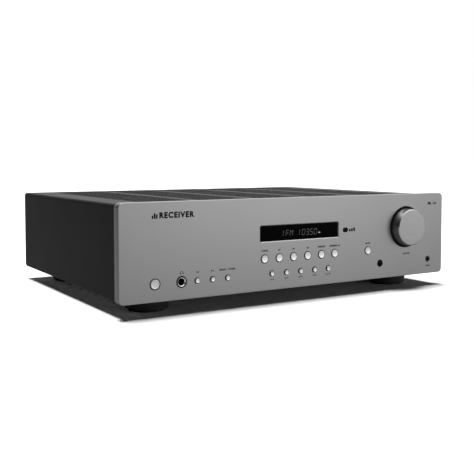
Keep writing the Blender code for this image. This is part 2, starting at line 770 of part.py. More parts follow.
def mains_inlet():
    """The inlet's moulding, with the well for the rocker beside it."""
    face = BACK + GAP + MAINS_FLANGE
    shape = bmesh.new()
    flange = rounded_rectangle(MAINS_SIZE[0] + 0.005, MAINS_SIZE[1] + 0.005, 0.002, 2)
    prism(shape, flange, BACK + GAP, face, at=(MAINS_X, MAINS_Z))
    inlet = add_object("mains_inlet", shape, "black_plastic")
    body = bmesh.new()
    outline = rounded_rectangle(*MAINS_SIZE, 0.001, 1)
    prism(body, outline, BACK - 0.024, BACK + 0.001, at=(MAINS_X, MAINS_Z))
    combine(inlet, body, "UNION")
    hollows = bmesh.new()
    cavity_floor = face - 0.017
    outline = rounded_rectangle(*PLUG_CAVITY, 0.003, 2)
    prism(hollows, outline, cavity_floor, face + 0.001, at=(PLUG_X, MAINS_Z))
    outline = rounded_rectangle(*ROCKER_WELL, 0.0005, 1)
    prism(hollows, outline, face - 0.013, face + 0.001, at=(ROCKER_X, MAINS_Z))
    combine(inlet, hollows, "DIFFERENCE")
    pins = bmesh.new()
    for x, z in ((-0.007, -0.002), (0.0, 0.002), (0.007, -0.002)):
        x, z = PLUG_X + x, MAINS_Z + z
        low = (x - 0.001, cavity_floor - 0.001, z - 0.002)
        box(pins, low, (x + 0.001, cavity_floor + 0.010, z + 0.002))
    combine(inlet, pins, "UNION")


def mains_rocker():
    """The rocker tips about an upright pivot. Its origin is on the pivot."""
    shape = bmesh.new()
    reach, rise, depth = 0.0094, 0.0048, 0.0035
    outline = [(-reach, rise), (-reach * 0.8, -depth), (reach * 0.8, -depth), (reach, rise)]
    outline += [(reach / 3, rise - 0.0012), (-reach / 3, rise - 0.0012)]
    prism(shape, outline, -0.0063, 0.0063, axis="Z")
    pivot = (ROCKER_X, BACK - 0.0015, MAINS_Z)
    rocker = add_object("mains_rocker", shape, "black_plastic", pivot)
    rocker.rotation_euler = (0, 0, -ROCKER_TILT)


def cover_screws():
    for side, (x, z) in zip(("left", "right"), cover_screw_places()):
        shape = bmesh.new()
        profile = [
            (0, -0.008),
            (0.0015, -0.008),
            (0.0015, GAP),
            (0.0034, GAP),
            (0.0032, 0.0016),
            (0.0016, 0.0024),
            (0, 0.0024),
        ]
        turned(shape, profile, 16)
        add_object(f"cover_screw_{side}", shape, "black_steel", (x, BACK, z))


# Inside -------------------------------------------------------------------------------

TRANSFORMER_AT = (-0.132, -0.058)
TRANSFORMER_DIAMETER = 0.112
TRANSFORMER_HEIGHT = 0.052
TRANSFORMER_HOLE = 0.030
HEAT_SINK_X = 0.004
HEAT_SINK_FRONT, HEAT_SINK_BACK = -0.100, 0.090
HEAT_SINK_FINS = 12


def transformer():
    x, y = TRANSFORMER_AT
    shape = bmesh.new()
    outer, inner, height = TRANSFORMER_DIAMETER / 2, TRANSFORMER_HOLE / 2, TRANSFORMER_HEIGHT
    corner = 0.009
    profile = []
    for centre_r, centre_z, first in (
        (outer - corner, corner, -90),
        (outer - corner, height - corner, 0),
        (inner + corner, height - corner, 90),
        (inner + corner, corner, 180),
    ):
        for step in range(3):
            angle = math.radians(first + 45 * step)
            radius = centre_r + corner * math.cos(angle)
            profile.append((radius, centre_z + corner * math.sin(angle)))
    turned(shape, profile, 24, axis="Z", ring=True)
    base = FLOOR + 0.0015
    add_object("toroidal_transformer", shape, "transformer_wrap", (x, y, base))

    shape = bmesh.new()
    disc = 0.032
    profile = [
        (0, FLOOR + GAP - base),
        (0.004, FLOOR + GAP - base),
        (0.004, height + GAP),
        (disc, height + GAP),
        (disc, height + 0.0023),
        (0.008, height + 0.0023),
        (0.008, height + 0.008),
        (0, height + 0.008),
    ]
    turned(shape, profile, 20, axis="Z")
    add_object("transformer_clamp", shape, "zinc_steel", (x, y, base))


def heat_sink():
    """An upright plate with fins, as one extrusion that air rises through."""
    plate, fin_length, fin = 0.006, 0.028, 0.0022
    length = HEAT_SINK_BACK - HEAT_SINK_FRONT
    pitch = (length - fin) / (HEAT_SINK_FINS - 1)
    outline = [(HEAT_SINK_X, HEAT_SINK_BACK), (HEAT_SINK_X, HEAT_SINK_FRONT)]
    for i in range(HEAT_SINK_FINS):
        start = HEAT_SINK_FRONT + i * pitch
        root, tip = HEAT_SINK_X + plate, HEAT_SINK_X + plate + fin_length
        if i:
            outline.append((root, start))
        outline += [(tip, start), (tip, start + fin)]
        if i < HEAT_SINK_FINS - 1:
            outline.append((root, start + fin))
    shape = bmesh.new()
    prism(shape, outline, FLOOR + GAP, FLOOR + 0.070, axis="Z")
    add_object("heat_sink", shape, "heat_sink_black")


def circuit_board(name, low, high, parts):
    """A board on four standoffs. Each part is ((x, y) centre, (width, depth), height)."""
    shape = bmesh.new()
    box(shape, (low[0], low[1], BOARD_TOP - BOARD), (high[0], high[1], BOARD_TOP))
    board = add_object(name, shape, "board_green")
    added = bmesh.new()
    inset = 0.006
    for x in (low[0] + inset, high[0] - inset):
        for y in (low[1] + inset, high[1] - inset):
            standoff = circle(0.006, 8)
            prism(added, standoff, FLOOR + GAP, BOARD_TOP - BOARD / 2, "Z", (x, y))
    for (x, y), (width, depth), height in parts:
        corner = (x - width / 2, y - depth / 2, BOARD_TOP - OVERLAP)
        box(added, corner, (x + width / 2, y + depth / 2, BOARD_TOP + height))
    combine(board, added, "UNION")


def boards():
    sink_face = HEAT_SINK_X - GAP
    transistors = [
        ((sink_face - 0.0025, HEAT_SINK_FRONT + 0.024 + i * 0.0235), (0.005, 0.016), 0.024)
        for i in range(7)
    ]
    edge = sink_face
    circuit_board(
        "amplifier_board", (edge - 0.062, HEAT_SINK_FRONT), (edge, HEAT_SINK_BACK), transistors
    )
    relays = [((0.110 + i * 0.024, 0.096), (0.018, 0.014), 0.016) for i in range(3)]
    chips = [((0.085, 0.045), (0.024, 0.024), 0.003), ((0.130, 0.050), (0.018, 0.012), 0.003)]
    header = [((0.110, -0.085), (0.040, 0.006), 0.009)]
    circuit_board("main_board", (0.052, -0.095), (0.202, 0.134), relays + chips + header)


def capacitors():
    for i in range(2):
        shape = bmesh.new()
        radius, height = 0.015, 0.046
        profile = [
            (0, GAP),
            (radius - 0.001, GAP),
            (radius, 0.001 + GAP),
            (radius, height - 0.0015),
            (radius - 0.0015, height),
            (0, height),
        ]
        turned(shape, profile, 20, axis="Z")
        place = (0.092 + i * 0.038, -0.035, BOARD_TOP)
        add_object(f"reservoir_capacitor_{i + 1}", shape, "capacitor_sleeve", place)


def tuner_module():
    shape = bmesh.new()
    low = (0.156, 0.010, BOARD_TOP + GAP)
    box(shape, low, (0.196, 0.070, BOARD_TOP + 0.016))
    bevel_edges(shape, lambda a, b: min(a.z, b.z) > BOARD_TOP + 0.0155, 0.001)
    add_object("tuner_module", shape, "tinned_steel")


def ribbon_cable():
    """The flat cable from the main board's header up to the control board, in one S."""
    thickness, half_width = 0.001, 0.016
    start = (-0.085, BOARD_TOP + 0.009 + GAP)
    end = (CONTROL_BOARD_BACK + GAP, 0.060)
    rise = 0.014
    middle_line = []
    for step in range(13):
        share = step / 12
        eased = share * share * (3 - 2 * share)
        height = start[1] + (end[1] - start[1]) * eased + rise * math.sin(math.pi * share)
        middle_line.append((start[0] + (end[0] - start[0]) * share, height))
    upper = [(y, z + thickness) for y, z in middle_line]
    shape = bmesh.new()
    prism(shape, middle_line + upper[::-1], -half_width, half_width, axis="X")
    bmesh.ops.translate(shape, verts=shape.verts, vec=(0.110, 0, 0))
    add_object("ribbon_cable", shape, "ribbon_grey")


def parent_to_case():
    """Hangs every piece without a parent on one empty, so that the receiver moves as one."""
    case = bpy.data.objects.new("receiver", None)
    bpy.context.scene.collection.objects.link(case)
    for piece in list(bpy.context.scene.collection.objects):
        if piece is not case and piece.parent is None:
            piece.parent = case


def main():
    clear_scene()
    front_panel()
    fascia_frame()
    display()
    push_buttons()
    front_socket("headphone_jack", HEADPHONE_X, HEADPHONE_COLLAR, HEADPHONE_BORE, 0.030, 0.014, 0.034)
    front_socket("aux_jack", AUX_X, AUX_COLLAR, AUX_BORE, 0.016, 0.009, 0.019)
    ir_window()
    volume_control()
    control_board()
    top_cover()
    chassis_tray()
    feet()
    rear_panel()
    phono_socket_block()
    speaker_terminals()
    antenna_block()
    ground_terminal()
    mains_inlet()
    mains_rocker()
    cover_screws()
    transformer()
    heat_sink()
    boards()
    capacitors()
    tuner_module()
    ribbon_cable()
    parent_to_case()


main()
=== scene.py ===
"""The looks of the stereo receiver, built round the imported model. Metres; the front faces -Y."""

import math

import bmesh
import bpy
from mathutils import Matrix, Vector


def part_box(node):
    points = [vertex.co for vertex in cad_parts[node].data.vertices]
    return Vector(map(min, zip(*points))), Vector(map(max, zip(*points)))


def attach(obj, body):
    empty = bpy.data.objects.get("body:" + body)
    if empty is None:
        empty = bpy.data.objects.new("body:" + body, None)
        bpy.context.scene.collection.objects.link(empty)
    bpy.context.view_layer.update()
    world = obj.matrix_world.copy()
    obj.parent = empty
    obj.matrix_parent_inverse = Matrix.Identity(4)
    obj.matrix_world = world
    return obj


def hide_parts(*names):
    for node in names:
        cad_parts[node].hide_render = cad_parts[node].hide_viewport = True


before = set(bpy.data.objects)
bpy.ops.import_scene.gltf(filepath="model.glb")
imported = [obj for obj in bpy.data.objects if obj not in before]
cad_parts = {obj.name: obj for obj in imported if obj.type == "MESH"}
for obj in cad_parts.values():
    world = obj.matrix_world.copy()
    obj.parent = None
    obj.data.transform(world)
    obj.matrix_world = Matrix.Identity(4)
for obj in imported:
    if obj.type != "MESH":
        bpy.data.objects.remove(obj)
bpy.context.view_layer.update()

MM = 0.001


# Places, read from the frame -----------------------------------------------------------


def middle(node):
    low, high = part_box(node)
    return (low + high) / 2


def extent(node):
    low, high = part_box(node)
    return high - low


PANEL_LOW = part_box("front_panel")[0]
FRONT = PANEL_LOW.y
COVER_LOW, COVER_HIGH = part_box("top_cover")
REAR_LOW, REAR_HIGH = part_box("rear_panel")
BACK = REAR_HIGH.y

POWER = ["power_button"]
SMALL = ["tuning_down_button", "tuning_up_button", "mode_button"]
SOURCES = [f"source_button_{i}" for i in range(1, 7)]
PRESETS = [f"preset_button_{i}" for i in range(1, 6)]
MUTE = ["mute_button"]
# Diameter of the hole round each kind of button, in mm
BUTTON_HOLES = {"power_button": 11.3}
BUTTON_HOLES.update({name: 9.3 for name in SOURCES + MUTE})
BUTTON_HOLES.update({name: 6.2 for name in SMALL + PRESETS})
FLANGE = 1.3 * MM  # how far each CAD button's flange reaches past the button


# Materials -----------------------------------------------------------------------------


class Network:
    """A new node material, with the steps that the finishes share."""

    def __init__(self, name):
        self.material = bpy.data.materials.new(name)
        self.material.use_nodes = True
        self.nodes, self.links = self.material.node_tree.nodes, self.material.node_tree.links
        self.shader = self.nodes["Principled BSDF"].inputs
        self.place = self.nodes.new("ShaderNodeTexCoord").outputs["Object"]

    def mapping(self, **values):
        made = self.nodes.new("ShaderNodeMapping")
        for key, value in values.items():
            made.inputs[key].default_value = value
        self.links.new(self.place, made.inputs["Vector"])
        return made.outputs["Vector"]

    def noise(self, vector, scale, detail=2):
        made = self.nodes.new("ShaderNodeTexNoise")
        made.inputs["Scale"].default_value = scale
        made.inputs["Detail"].default_value = detail
        self.links.new(vector, made.inputs["Vector"])
        return made.outputs["Fac"]

    def tint(self, source, socket, colour, darkest, lightest, places):
        made = self.nodes.new("ShaderNodeValToRGB")
        shades = zip(made.color_ramp.elements, (darkest, lightest), places)
        for element, share, place in shades:
            element.position = place
            element.color = (*(c * share for c in colour), 1)
        self.links.new(source, made.inputs["Fac"])
        self.links.new(made.outputs["Color"], self.shader[socket])

    def roughen(self, source, roughness, spread):
        made = self.nodes.new("ShaderNodeMapRange")
        made.inputs["To Min"].default_value = roughness - spread
        made.inputs["To Max"].default_value = roughness + spread
        self.links.new(source, made.inputs["Value"])
        self.links.new(made.outputs["Result"], self.shader["Roughness"])

    def relief(self, source, strength, grain):
        made = self.nodes.new("ShaderNodeBump")
        made.inputs["Strength"].default_value = strength
        made.inputs["Distance"].default_value = grain * 0.2
        self.links.new(source, made.inputs["Height"])
        self.links.new(made.outputs["Normal"], self.shader["Normal"])


def surface(
    name,
    colour,
    roughness,
    metallic=0.0,
    grain=0.5 * MM,
    bump=0.05,
    mottle=0.06,
    cloud=40 * MM,
    stretch=(1, 1, 1),
    coat=0.0,
    specular=0.5,
    rough_spread=0.06,
):
    """A Principled material with fine grain in its relief and soft clouds in its colour."""
    net = Network(name)
    net.shader["Metallic"].default_value = metallic
    net.shader["Specular IOR Level"].default_value = specular
    net.shader["Coat Weight"].default_value = coat
    net.shader["Coat Roughness"].default_value = 0.08
    fine = net.noise(net.mapping(Scale=stretch), 1 / grain, 3)
    clouds = net.noise(net.place, 1 / cloud, 4)
    both = net.nodes.new("ShaderNodeMix")
    both.inputs["Factor"].default_value = 0.5
    net.links.new(fine, both.inputs["A"])
    net.links.new(clouds, both.inputs["B"])
    net.tint(both.outputs["Result"], "Base Color", colour, 1 - mottle, 1 + mottle, (0.3, 0.7))
    net.roughen(both.outputs["Result"], roughness, rough_spread)
    net.relief(fine, bump, grain)
    return net.material


def turned_metal(name, colour, roughness, centre, pitch=0.12 * MM, bump=0.12):
    """Metal with the fine rings that a lathe leaves round the axis along Y through centre."""
    net = Network(name)
    net.shader["Metallic"].default_value = 1.0
    net.shader["Anisotropic"].default_value = 0.6
    radius = net.nodes.new("ShaderNodeVectorMath")
    radius.operation = "LENGTH"
    across = net.mapping(Location=(-centre.x, 0, -centre.z), Scale=(1, 0, 1))
    net.links.new(across, radius.inputs[0])
    along = net.nodes.new("ShaderNodeSeparateXYZ")
    net.links.new(net.place, along.inputs["Vector"])
    place = net.nodes.new("ShaderNodeCombineXYZ")
    net.links.new(radius.outputs["Value"], place.inputs["X"])
    net.links.new(along.outputs["Y"], place.inputs["Y"])
    rings = net.noise(place.outputs["Vector"], 1 / pitch)
    net.tint(rings, "Base Color", colour, 0.93, 1.07, (0.25, 0.75))
    net.roughen(rings, roughness, 0.05)
    net.relief(rings, bump, pitch)
    return net.material


def glow(name, colour, strength):
    """Lit display segments: a little uneven, as a real panel is."""
    net = Network(name)
    net.shader["Roughness"].default_value = 0.4
    net.shader["Emission Strength"].default_value = strength
    net.shader["Base Color"].default_value = (0.02, 0.02, 0.02, 1)
    net.tint(net.noise(net.place, 600), "Emission Color", colour, 0.8, 1, (0, 1))
    return net.material


PANEL_METAL = surface("anodised_grey", (0.285, 0.285, 0.287), 0.42, 0.92, 0.25 * MM, 0.22, 0.035)
BUTTON_METAL = surface("satin_silver", (0.62, 0.62, 0.625), 0.34, 1.0, 0.2 * MM, 0.08, 0.03)
POWER_METAL = surface("satin_power", (0.56, 0.56, 0.565), 0.4, 1.0, 0.2 * MM, 0.08, 0.03)
COVER_PAINT = surface(
    "powder_coat", (0.008, 0.008, 0.0082), 0.42, 0.0, 0.35 * MM, 0.25, 0.15, specular=0.07
)
ZINC = surface("zinc_plate", (0.52, 0.53, 0.52), 0.36, 1.0, 1.2 * MM, 0.1, 0.12, 6 * MM)
BLACK_PLASTIC = surface("black_moulding", (0.011, 0.011, 0.012), 0.5, 0.0, 0.3 * MM, 0.3, 0.12)
# Near-black, darker than the black moulding; in the button holes it is painted shade in the gap round each
# button.
DEEP_BLACK = surface("deep_black", (0.003, 0.003, 0.003), 0.65, 0.0, 0.3 * MM, 0.2, 0.1, specular=0.2)
GLOSS_BLACK = surface(
    "smoked_gloss", (0.001, 0.001, 0.0012), 0.1, 0.0, 2 * MM, 0.01, 0.1, specular=0.04,
    rough_spread=0.02,
)
CHROME = surface("chrome", (0.8, 0.8, 0.81), 0.12, 1.0, 1 * MM, 0.02, 0.02, rough_spread=0.03)
NICKEL = surface("nickel", (0.7, 0.69, 0.66), 0.2, 1.0, 0.6 * MM, 0.04, 0.05)
GOLD = surface("gold_plate", (0.83, 0.6, 0.24), 0.2, 1.0, 0.6 * MM, 0.04, 0.04)
PRINT_DARK = surface("dark_print", (0.004, 0.004, 0.004), 0.7, 0.0, 0.2 * MM, 0.1, 0.1, specular=0.1)
PRINT_SOFT = surface("soft_print", (0.015, 0.015, 0.015), 0.7, 0.0, 0.2 * MM, 0.1, 0.1, specular=0.1)
PRINT_LIGHT = surface("light_print", (0.1, 0.1, 0.1), 0.6, 0.0, 0.2 * MM, 0.1, 0.1, specular=0.2)
PRINT_WHITE = surface("white_print", (0.62, 0.62, 0.62), 0.6, 0.0, 0.2 * MM, 0.1, 0.08)
RUBBER = surface("foot_rubber", (0.03, 0.03, 0.03), 0.75, 0.0, 0.4 * MM, 0.4, 0.15)
RED_CAP = surface("red_moulding", (0.42, 0.012, 0.012), 0.3, 0.0, 0.5 * MM, 0.1, 0.08, coat=0.3)
BLACK_CAP = surface("black_cap", (0.012, 0.012, 0.012), 0.3, 0.0, 0.5 * MM, 0.1, 0.1, coat=0.3)
RED_INSERT = surface("red_insert", (0.5, 0.015, 0.015), 0.4, 0.0, 0.5 * MM, 0.1, 0.08)
WHITE_INSERT = surface("white_insert", (0.75, 0.74, 0.72), 0.4, 0.0, 0.5 * MM, 0.1, 0.05)
BOARD = surface("solder_mask", (0.012, 0.075, 0.035), 0.4, 0.0, 0.7 * MM, 0.2, 0.25, 8 * MM)
SINK = surface("black_anodise", (0.02, 0.02, 0.021), 0.42, 0.6, 0.3 * MM, 0.2, 0.12, stretch=(1, 1, 0.05))
TAPE = surface("winding_tape", (0.6, 0.42, 0.06), 0.3, 0.0, 2 * MM, 0.5, 0.12, coat=0.2)
SLEEVE = surface("shrink_sleeve", (0.012, 0.02, 0.05), 0.3, 0.0, 1 * MM, 0.1, 0.1, coat=0.2)
TIN = surface("tin_plate", (0.6, 0.6, 0.58), 0.3, 1.0, 1 * MM, 0.08, 0.08)
RIBBON = surface("ribbon_pvc", (0.4, 0.4, 0.39), 0.55, 0.0, 1.27 * MM, 0.8, 0.1, stretch=(1, 0.01, 0.01))
POLISHED_EDGE = surface("polished_edge", (0.5, 0.5, 0.505), 0.18, 1.0, 0.2 * MM, 0.04, 0.02)
KNOB_FACE = turned_metal("turned_grey", (0.32, 0.32, 0.323), 0.34, middle("volume_knob"))
DIGITS = glow("lit_segment", (0.75, 0.78, 0.8), 0.055)
DIGIT_BRIGHT = glow("lit_mark", (0.8, 0.82, 0.84), 0.5)


# Mesh tools ----------------------------------------------------------------------------


def piece(name, mesh, material, body="case", replaces=()):
    """The mesh as a visible piece that rides on the body."""
    made = bpy.data.objects.new(name, mesh)
    bpy.context.scene.collection.objects.link(made)
    if material is not None:
        mesh.materials.clear()
        mesh.materials.append(material)
    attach(made, body)
    if replaces:
        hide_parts(*replaces)
    return made


def flat_where(mesh, axis, angle=35):
    """Smooth shading with crisp edges, and flat faces across the axis."""
    mesh.shade_smooth()
    mesh.set_sharp_from_angle(angle=math.radians(angle))
    for face in mesh.polygons:
        if abs(face.normal[axis]) > 0.9995:
            face.use_smooth = False


def to_mesh(name, shape, axis=1, angle=35):
    mesh = bpy.data.meshes.new(name)
    bmesh.ops.recalc_face_normals(shape, faces=shape.faces)
    shape.to_mesh(mesh)
    shape.free()
    flat_where(mesh, axis, angle)
    return mesh


def lathe(shape, profile, centre=(0, 0, 0), sides=64, axis="Y", flutes=0, flute_depth=0.0):
    """Adds the (radius, distance) profile turned round the axis. Radius 0 closes an end.

    A profile that doesn't start and end on the axis is closed into a ring. Flutes are cut
    in its widest part.
    """
    widest = max(radius for radius, _ in profile)
    rows = []
    for radius, along in profile:
        row = []
        for i in range(sides if radius > 0 else 1):
            angle = 2 * math.pi * i / sides
            reach = radius
            if flutes and radius > 0.9 * widest:
                reach -= flute_depth * max(0.0, math.cos(flutes * angle)) ** 2
            across, up = reach * math.cos(angle), reach * math.sin(angle)
            point = (across, along, up) if axis == "Y" else (across, up, along)
            row.append(shape.verts.new(Vector(point) + Vector(centre)))
        rows.append(row)
    pairs = list(zip(rows, rows[1:]))
    if len(rows[0]) > 1 and len(rows[-1]) > 1:
        pairs.append((rows[-1], rows[0]))
    for row, following in pairs:
        for i in range(sides):
            j = (i + 1) % sides
            corners = [row[i % len(row)], row[j % len(row)]]
            corners += [following[j % len(following)], following[i % len(following)]]
            corners = list(dict.fromkeys(corners))
            if len(corners) > 2:
                shape.faces.new(corners)


def turned(name, profile, at, material, sides=48, body="case", slot=None, nodes=(), angle=35, **flutes):
    """A piece turned round the axis along Y through at."""
    shape = bmesh.new()
    lathe(shape, profile, (at.x, 0, at.z), sides, **flutes)
    return piece(name, to_mesh(name, shape, angle=angle), material, body, nodes)


def rounded(width, height, radius, centre=(0, 0), steps=6):
    """The outline of a rectangle with round corners."""
    points = []
    for corner, (side_x, side_y) in enumerate(((1, 1), (-1, 1), (-1, -1), (1, -1))):
        for step in range(steps + 1):
            angle = math.radians(90 * (corner + step / steps))
            x = side_x * (width / 2 - radius) + radius * math.cos(angle)
            y = side_y * (height / 2 - radius) + radius * math.sin(angle)
            points.append((centre[0] + x, centre[1] + y))
    return points


def loft(shape, outlines, places):
    """Adds the solid that runs through outlines across Y, one at each place along it."""
    rows = [
        [shape.verts.new((x, along, z)) for x, z in outline]
        for outline, along in zip(outlines, places)
    ]
    shape.faces.new(rows[0])
    shape.faces.new(rows[-1])
    for row, following in zip(rows, rows[1:]):
        for i in range(len(row)):
            j = (i + 1) % len(row)
            shape.faces.new((row[i], row[j], following[j], following[i]))


def ring(diameter, centre=(0, 0), sides=48):
    turn = 2 * math.pi / sides
    radius = diameter / 2
    return [
        (centre[0] + radius * math.cos(turn * i), centre[1] + radius * math.sin(turn * i))
        for i in range(sides)
    ]


def curve_mesh(curve):
    """The mesh that a curve or a text makes, and the curve is removed."""
    holder = bpy.data.objects.new(curve.name, curve)
    bpy.context.scene.collection.objects.link(holder)
    graph = bpy.context.evaluated_depsgraph_get()
    mesh = bpy.data.meshes.new_from_object(holder.evaluated_get(graph))
    bpy.data.objects.remove(holder)
    bpy.data.curves.remove(curve)
    return mesh


def plate(name, loops, thickness, bevel=0.0, bevel_steps=2):
    """A flat plate from its outline and its holes, with eased edges, as a mesh across Z."""
    curve = bpy.data.curves.new(name, "CURVE")
    curve.dimensions = "2D"
    curve.fill_mode = "BOTH"
    curve.extrude = thickness / 2 - bevel
    curve.bevel_depth = bevel
    curve.bevel_resolution = bevel_steps
    curve.offset = -bevel
    for loop in loops:
        spline = curve.splines.new("POLY")
        spline.points.add(len(loop) - 1)
        for point, (x, y) in zip(spline.points, loop):
            point.co = (x, y, 0, 1)
        spline.use_cyclic_u = True
    mesh = curve_mesh(curve)
    shape = bmesh.new()
    shape.from_mesh(mesh)
    bmesh.ops.remove_doubles(shape, verts=shape.verts, dist=1e-6)
    bmesh.ops.dissolve_degenerate(shape, edges=shape.edges, dist=1e-7)
    bmesh.ops.recalc_face_normals(shape, faces=shape.faces)
    shape.to_mesh(mesh)
    shape.free()
    return mesh


def upright(mesh, front_y, thickness):
    """Stands a plate up so that its face is at front_y and faces -Y."""
    mesh.transform(Matrix.Rotation(math.radians(90), 4, "X"))
    mesh.transform(Matrix.Translation((0, front_y + thickness / 2, 0)))
    flat_where(mesh, 1)
    return mesh


def box_faces(shape, low, high, bevel=0.0, segments=2):
    """Adds a box, with eased edges where bevel is given."""
    made = bmesh.ops.create_cube(shape, size=1)
    size, centre = Vector(high) - Vector(low), (Vector(high) + Vector(low)) / 2
    bmesh.ops.scale(shape, vec=size, verts=made["verts"])
    bmesh.ops.translate(shape, vec=centre, verts=made["verts"])
    if bevel:
        edges = list({edge for vert in made["verts"] for edge in vert.link_edges})
        bmesh.ops.bevel(
            shape, geom=edges, offset=bevel, segments=segments, profile=0.5, affect="EDGES"
        )


def join_meshes(name, meshes):
    """One mesh from several, keeping each one's shading."""
    shape = bmesh.new()
    for mesh in meshes:
        shape.from_mesh(mesh)
    joined = bpy.data.meshes.new(name)
    shape.to_mesh(joined)
    shape.free()
    return joined


CAPITAL_SHARE = 0.729  # of the font's size, that a capital is high


def lettering(name, text, place, height, material, facing="front", spacing=1.0, bold=0.0):
    """Printed words as thin raised ink, centred on place. height is a capital's."""
    curve = bpy.data.curves.new(name, "FONT")
    curve.body = text
    curve.size = height / CAPITAL_SHARE
    curve.align_x = "CENTER"
    curve.align_y = "CENTER"
    curve.space_character = spacing
    curve.extrude = 0.01 * MM
    curve.offset = bold
    curve.resolution_u = 3
    mesh = curve_mesh(curve)
    turn = Matrix.Rotation(math.radians(90), 4, "X")
    if facing == "back":
        turn = Matrix.Rotation(math.radians(180), 4, "Z") @ turn
    mesh.transform(Matrix.Translation(place) @ turn)
    return piece(name, mesh, material)


def cross_screw(name, place, diameter, material):
    """A pan-head screw with a cross recess, whose head looks along +Y."""
    radius, height = diameter / 2, diameter * 0.3
    shape = bmesh.new()
    profile = [(0, 0), (radius, 0), (radius, height * 0.35)]
    for step in range(1, 5):
        angle = math.radians(90 * step / 4)
        profile.append(
            (radius * math.cos(angle) if step < 4 else 0, height * (0.35 + 0.65 * math.sin(angle)))
        )
    lathe(shape, profile, sides=24)
    mesh = to_mesh(name, shape)
    made = bpy.data.objects.new(name, mesh)
    bpy.context.scene.collection.objects.link(made)
    cut = bmesh.new()
    arm, wide = radius * 0.62, radius * 0.16
    box_faces(cut, (-arm, height * 0.45, -wide), (arm, height * 2, wide))
    other = bmesh.new()
    box_faces(other, (-wide, height * 0.45, -arm), (wide, height * 2, arm))
    for recess in (cut, other):
        subtract(made, to_mesh("recess", recess))
    mesh = made.data
    bpy.data.objects.remove(made)
    mesh.transform(Matrix.Translation(place))
    flat_where(mesh, 1)
    return piece(name, mesh, material)


def subtract(target, cutter_mesh, operation="DIFFERENCE"):
    """Applies a Boolean with the mesh to the object's own mesh."""
    cutter = bpy.data.objects.new("cutter", cutter_mesh)
    bpy.context.scene.collection.objects.link(cutter)
    modifier = target.modifiers.new("cut", "BOOLEAN")
    modifier.object = cutter
    modifier.operation = operation
    modifier.solver = "EXACT"
    graph = bpy.context.evaluated_depsgraph_get()
    mesh = bpy.data.meshes.new_from_object(target.evaluated_get(graph))
    target.modifiers.clear()
    target.data = mesh
    bpy.data.objects.remove(cutter)


# Camera, light and floor ---------------------------------------------------------------

CAMERA_FROM_PANEL = Vector((-0.4982, -0.6707, 0.1392))  # from the middle of its lower edge
CAMERA_AZIMUTH, CAMERA_PITCH = -31.74, -2.96
CAMERA_LENS, CAMERA_SHIFT = 58.13, -0.080

SUN_STRENGTH, SUN_ANGLE = 3.7, 26
SUN_TILT = (math.radians(-8.3), math.radians(-0.8), 0)
FLOOR_HALF = 30
AMBIENT = 0.008
REFLECTED_LEFT, REFLECTED_RIGHT, REFLECTED_ABOVE = 0.0, 1.1, 0.75
FLOOR_SEEN, FLOOR_BOUNCE = 1.45, 0.36  # how pale the floor looks, and how much it lights the case


def camera():
    data = bpy.data.cameras.new("camera")
    data.lens = CAMERA_LENS
    data.shift_y = CAMERA_SHIFT
    data.sensor_width = 36
    data.clip_start = 0.01
    made = bpy.data.objects.new("camera", data)
    made.location = CAMERA_FROM_PANEL + Vector((0, FRONT, PANEL_LOW.z))
    made.rotation_euler = (math.radians(90 + CAMERA_PITCH), 0, math.radians(CAMERA_AZIMUTH))
    bpy.context.scene.collection.objects.link(made)
    bpy.context.scene.camera = made


def area_light(name, place, target, size, power):
    data = bpy.data.lights.new(name, "AREA")
    data.shape = "RECTANGLE"
    data.size, data.size_y = size
    data.energy = power
    made = bpy.data.objects.new(name, data)
    made.location = place
    made.rotation_euler = (Vector(target) - Vector(place)).to_track_quat("-Z", "Y").to_euler()
    bpy.context.scene.collection.objects.link(made)


def world_light():
    """White to look at, dim to light dull surfaces, and brighter to the right in reflections."""
    world = bpy.data.worlds.new("studio")
    bpy.context.scene.world = world
    world.use_nodes = True
    world.cycles.sampling_method = "NONE"
    nodes, links = world.node_tree.nodes, world.node_tree.links
    where = nodes.new("ShaderNodeTexCoord")
    apart = nodes.new("ShaderNodeSeparateXYZ")
    links.new(where.outputs["Generated"], apart.inputs["Vector"])
    across = nodes.new("ShaderNodeMapRange")
    across.inputs["From Min"].default_value = -0.45
    across.inputs["From Max"].default_value = 0.55
    across.inputs["To Min"].default_value = REFLECTED_LEFT
    across.inputs["To Max"].default_value = REFLECTED_RIGHT
    links.new(apart.outputs["X"], across.inputs["Value"])

    above = nodes.new("ShaderNodeMapRange")
    above.inputs["From Min"].default_value = 0.55
    above.inputs["From Max"].default_value = 0.85
    above.inputs["To Max"].default_value = REFLECTED_ABOVE
    links.new(apart.outputs["Z"], above.inputs["Value"])
    total = nodes.new("ShaderNodeMath")
    links.new(across.outputs["Result"], total.inputs[0])
    links.new(above.outputs["Result"], total.inputs[1])

    reflected = nodes.new("ShaderNodeBackground")
    links.new(total.outputs["Value"], reflected.inputs["Strength"])
    ambient = nodes["Background"]
    seen = nodes.new("ShaderNodeBackground")
    for background in (reflected, ambient, seen):
        background.inputs["Color"].default_value = (1, 1, 1, 1)
    ambient.inputs["Strength"].default_value = AMBIENT
    path = nodes.new("ShaderNodeLightPath")
    lit, shown = nodes.new("ShaderNodeMixShader"), nodes.new("ShaderNodeMixShader")
    links.new(path.outputs["Is Glossy Ray"], lit.inputs["Fac"])
    links.new(ambient.outputs["Background"], lit.inputs[1])
    links.new(reflected.outputs["Background"], lit.inputs[2])
    links.new(path.outputs["Is Camera Ray"], shown.inputs["Fac"])
    links.new(lit.outputs["Shader"], shown.inputs[1])
    links.new(seen.outputs["Background"], shown.inputs[2])
    links.new(shown.outputs["Shader"], nodes["World Output"].inputs["Surface"])


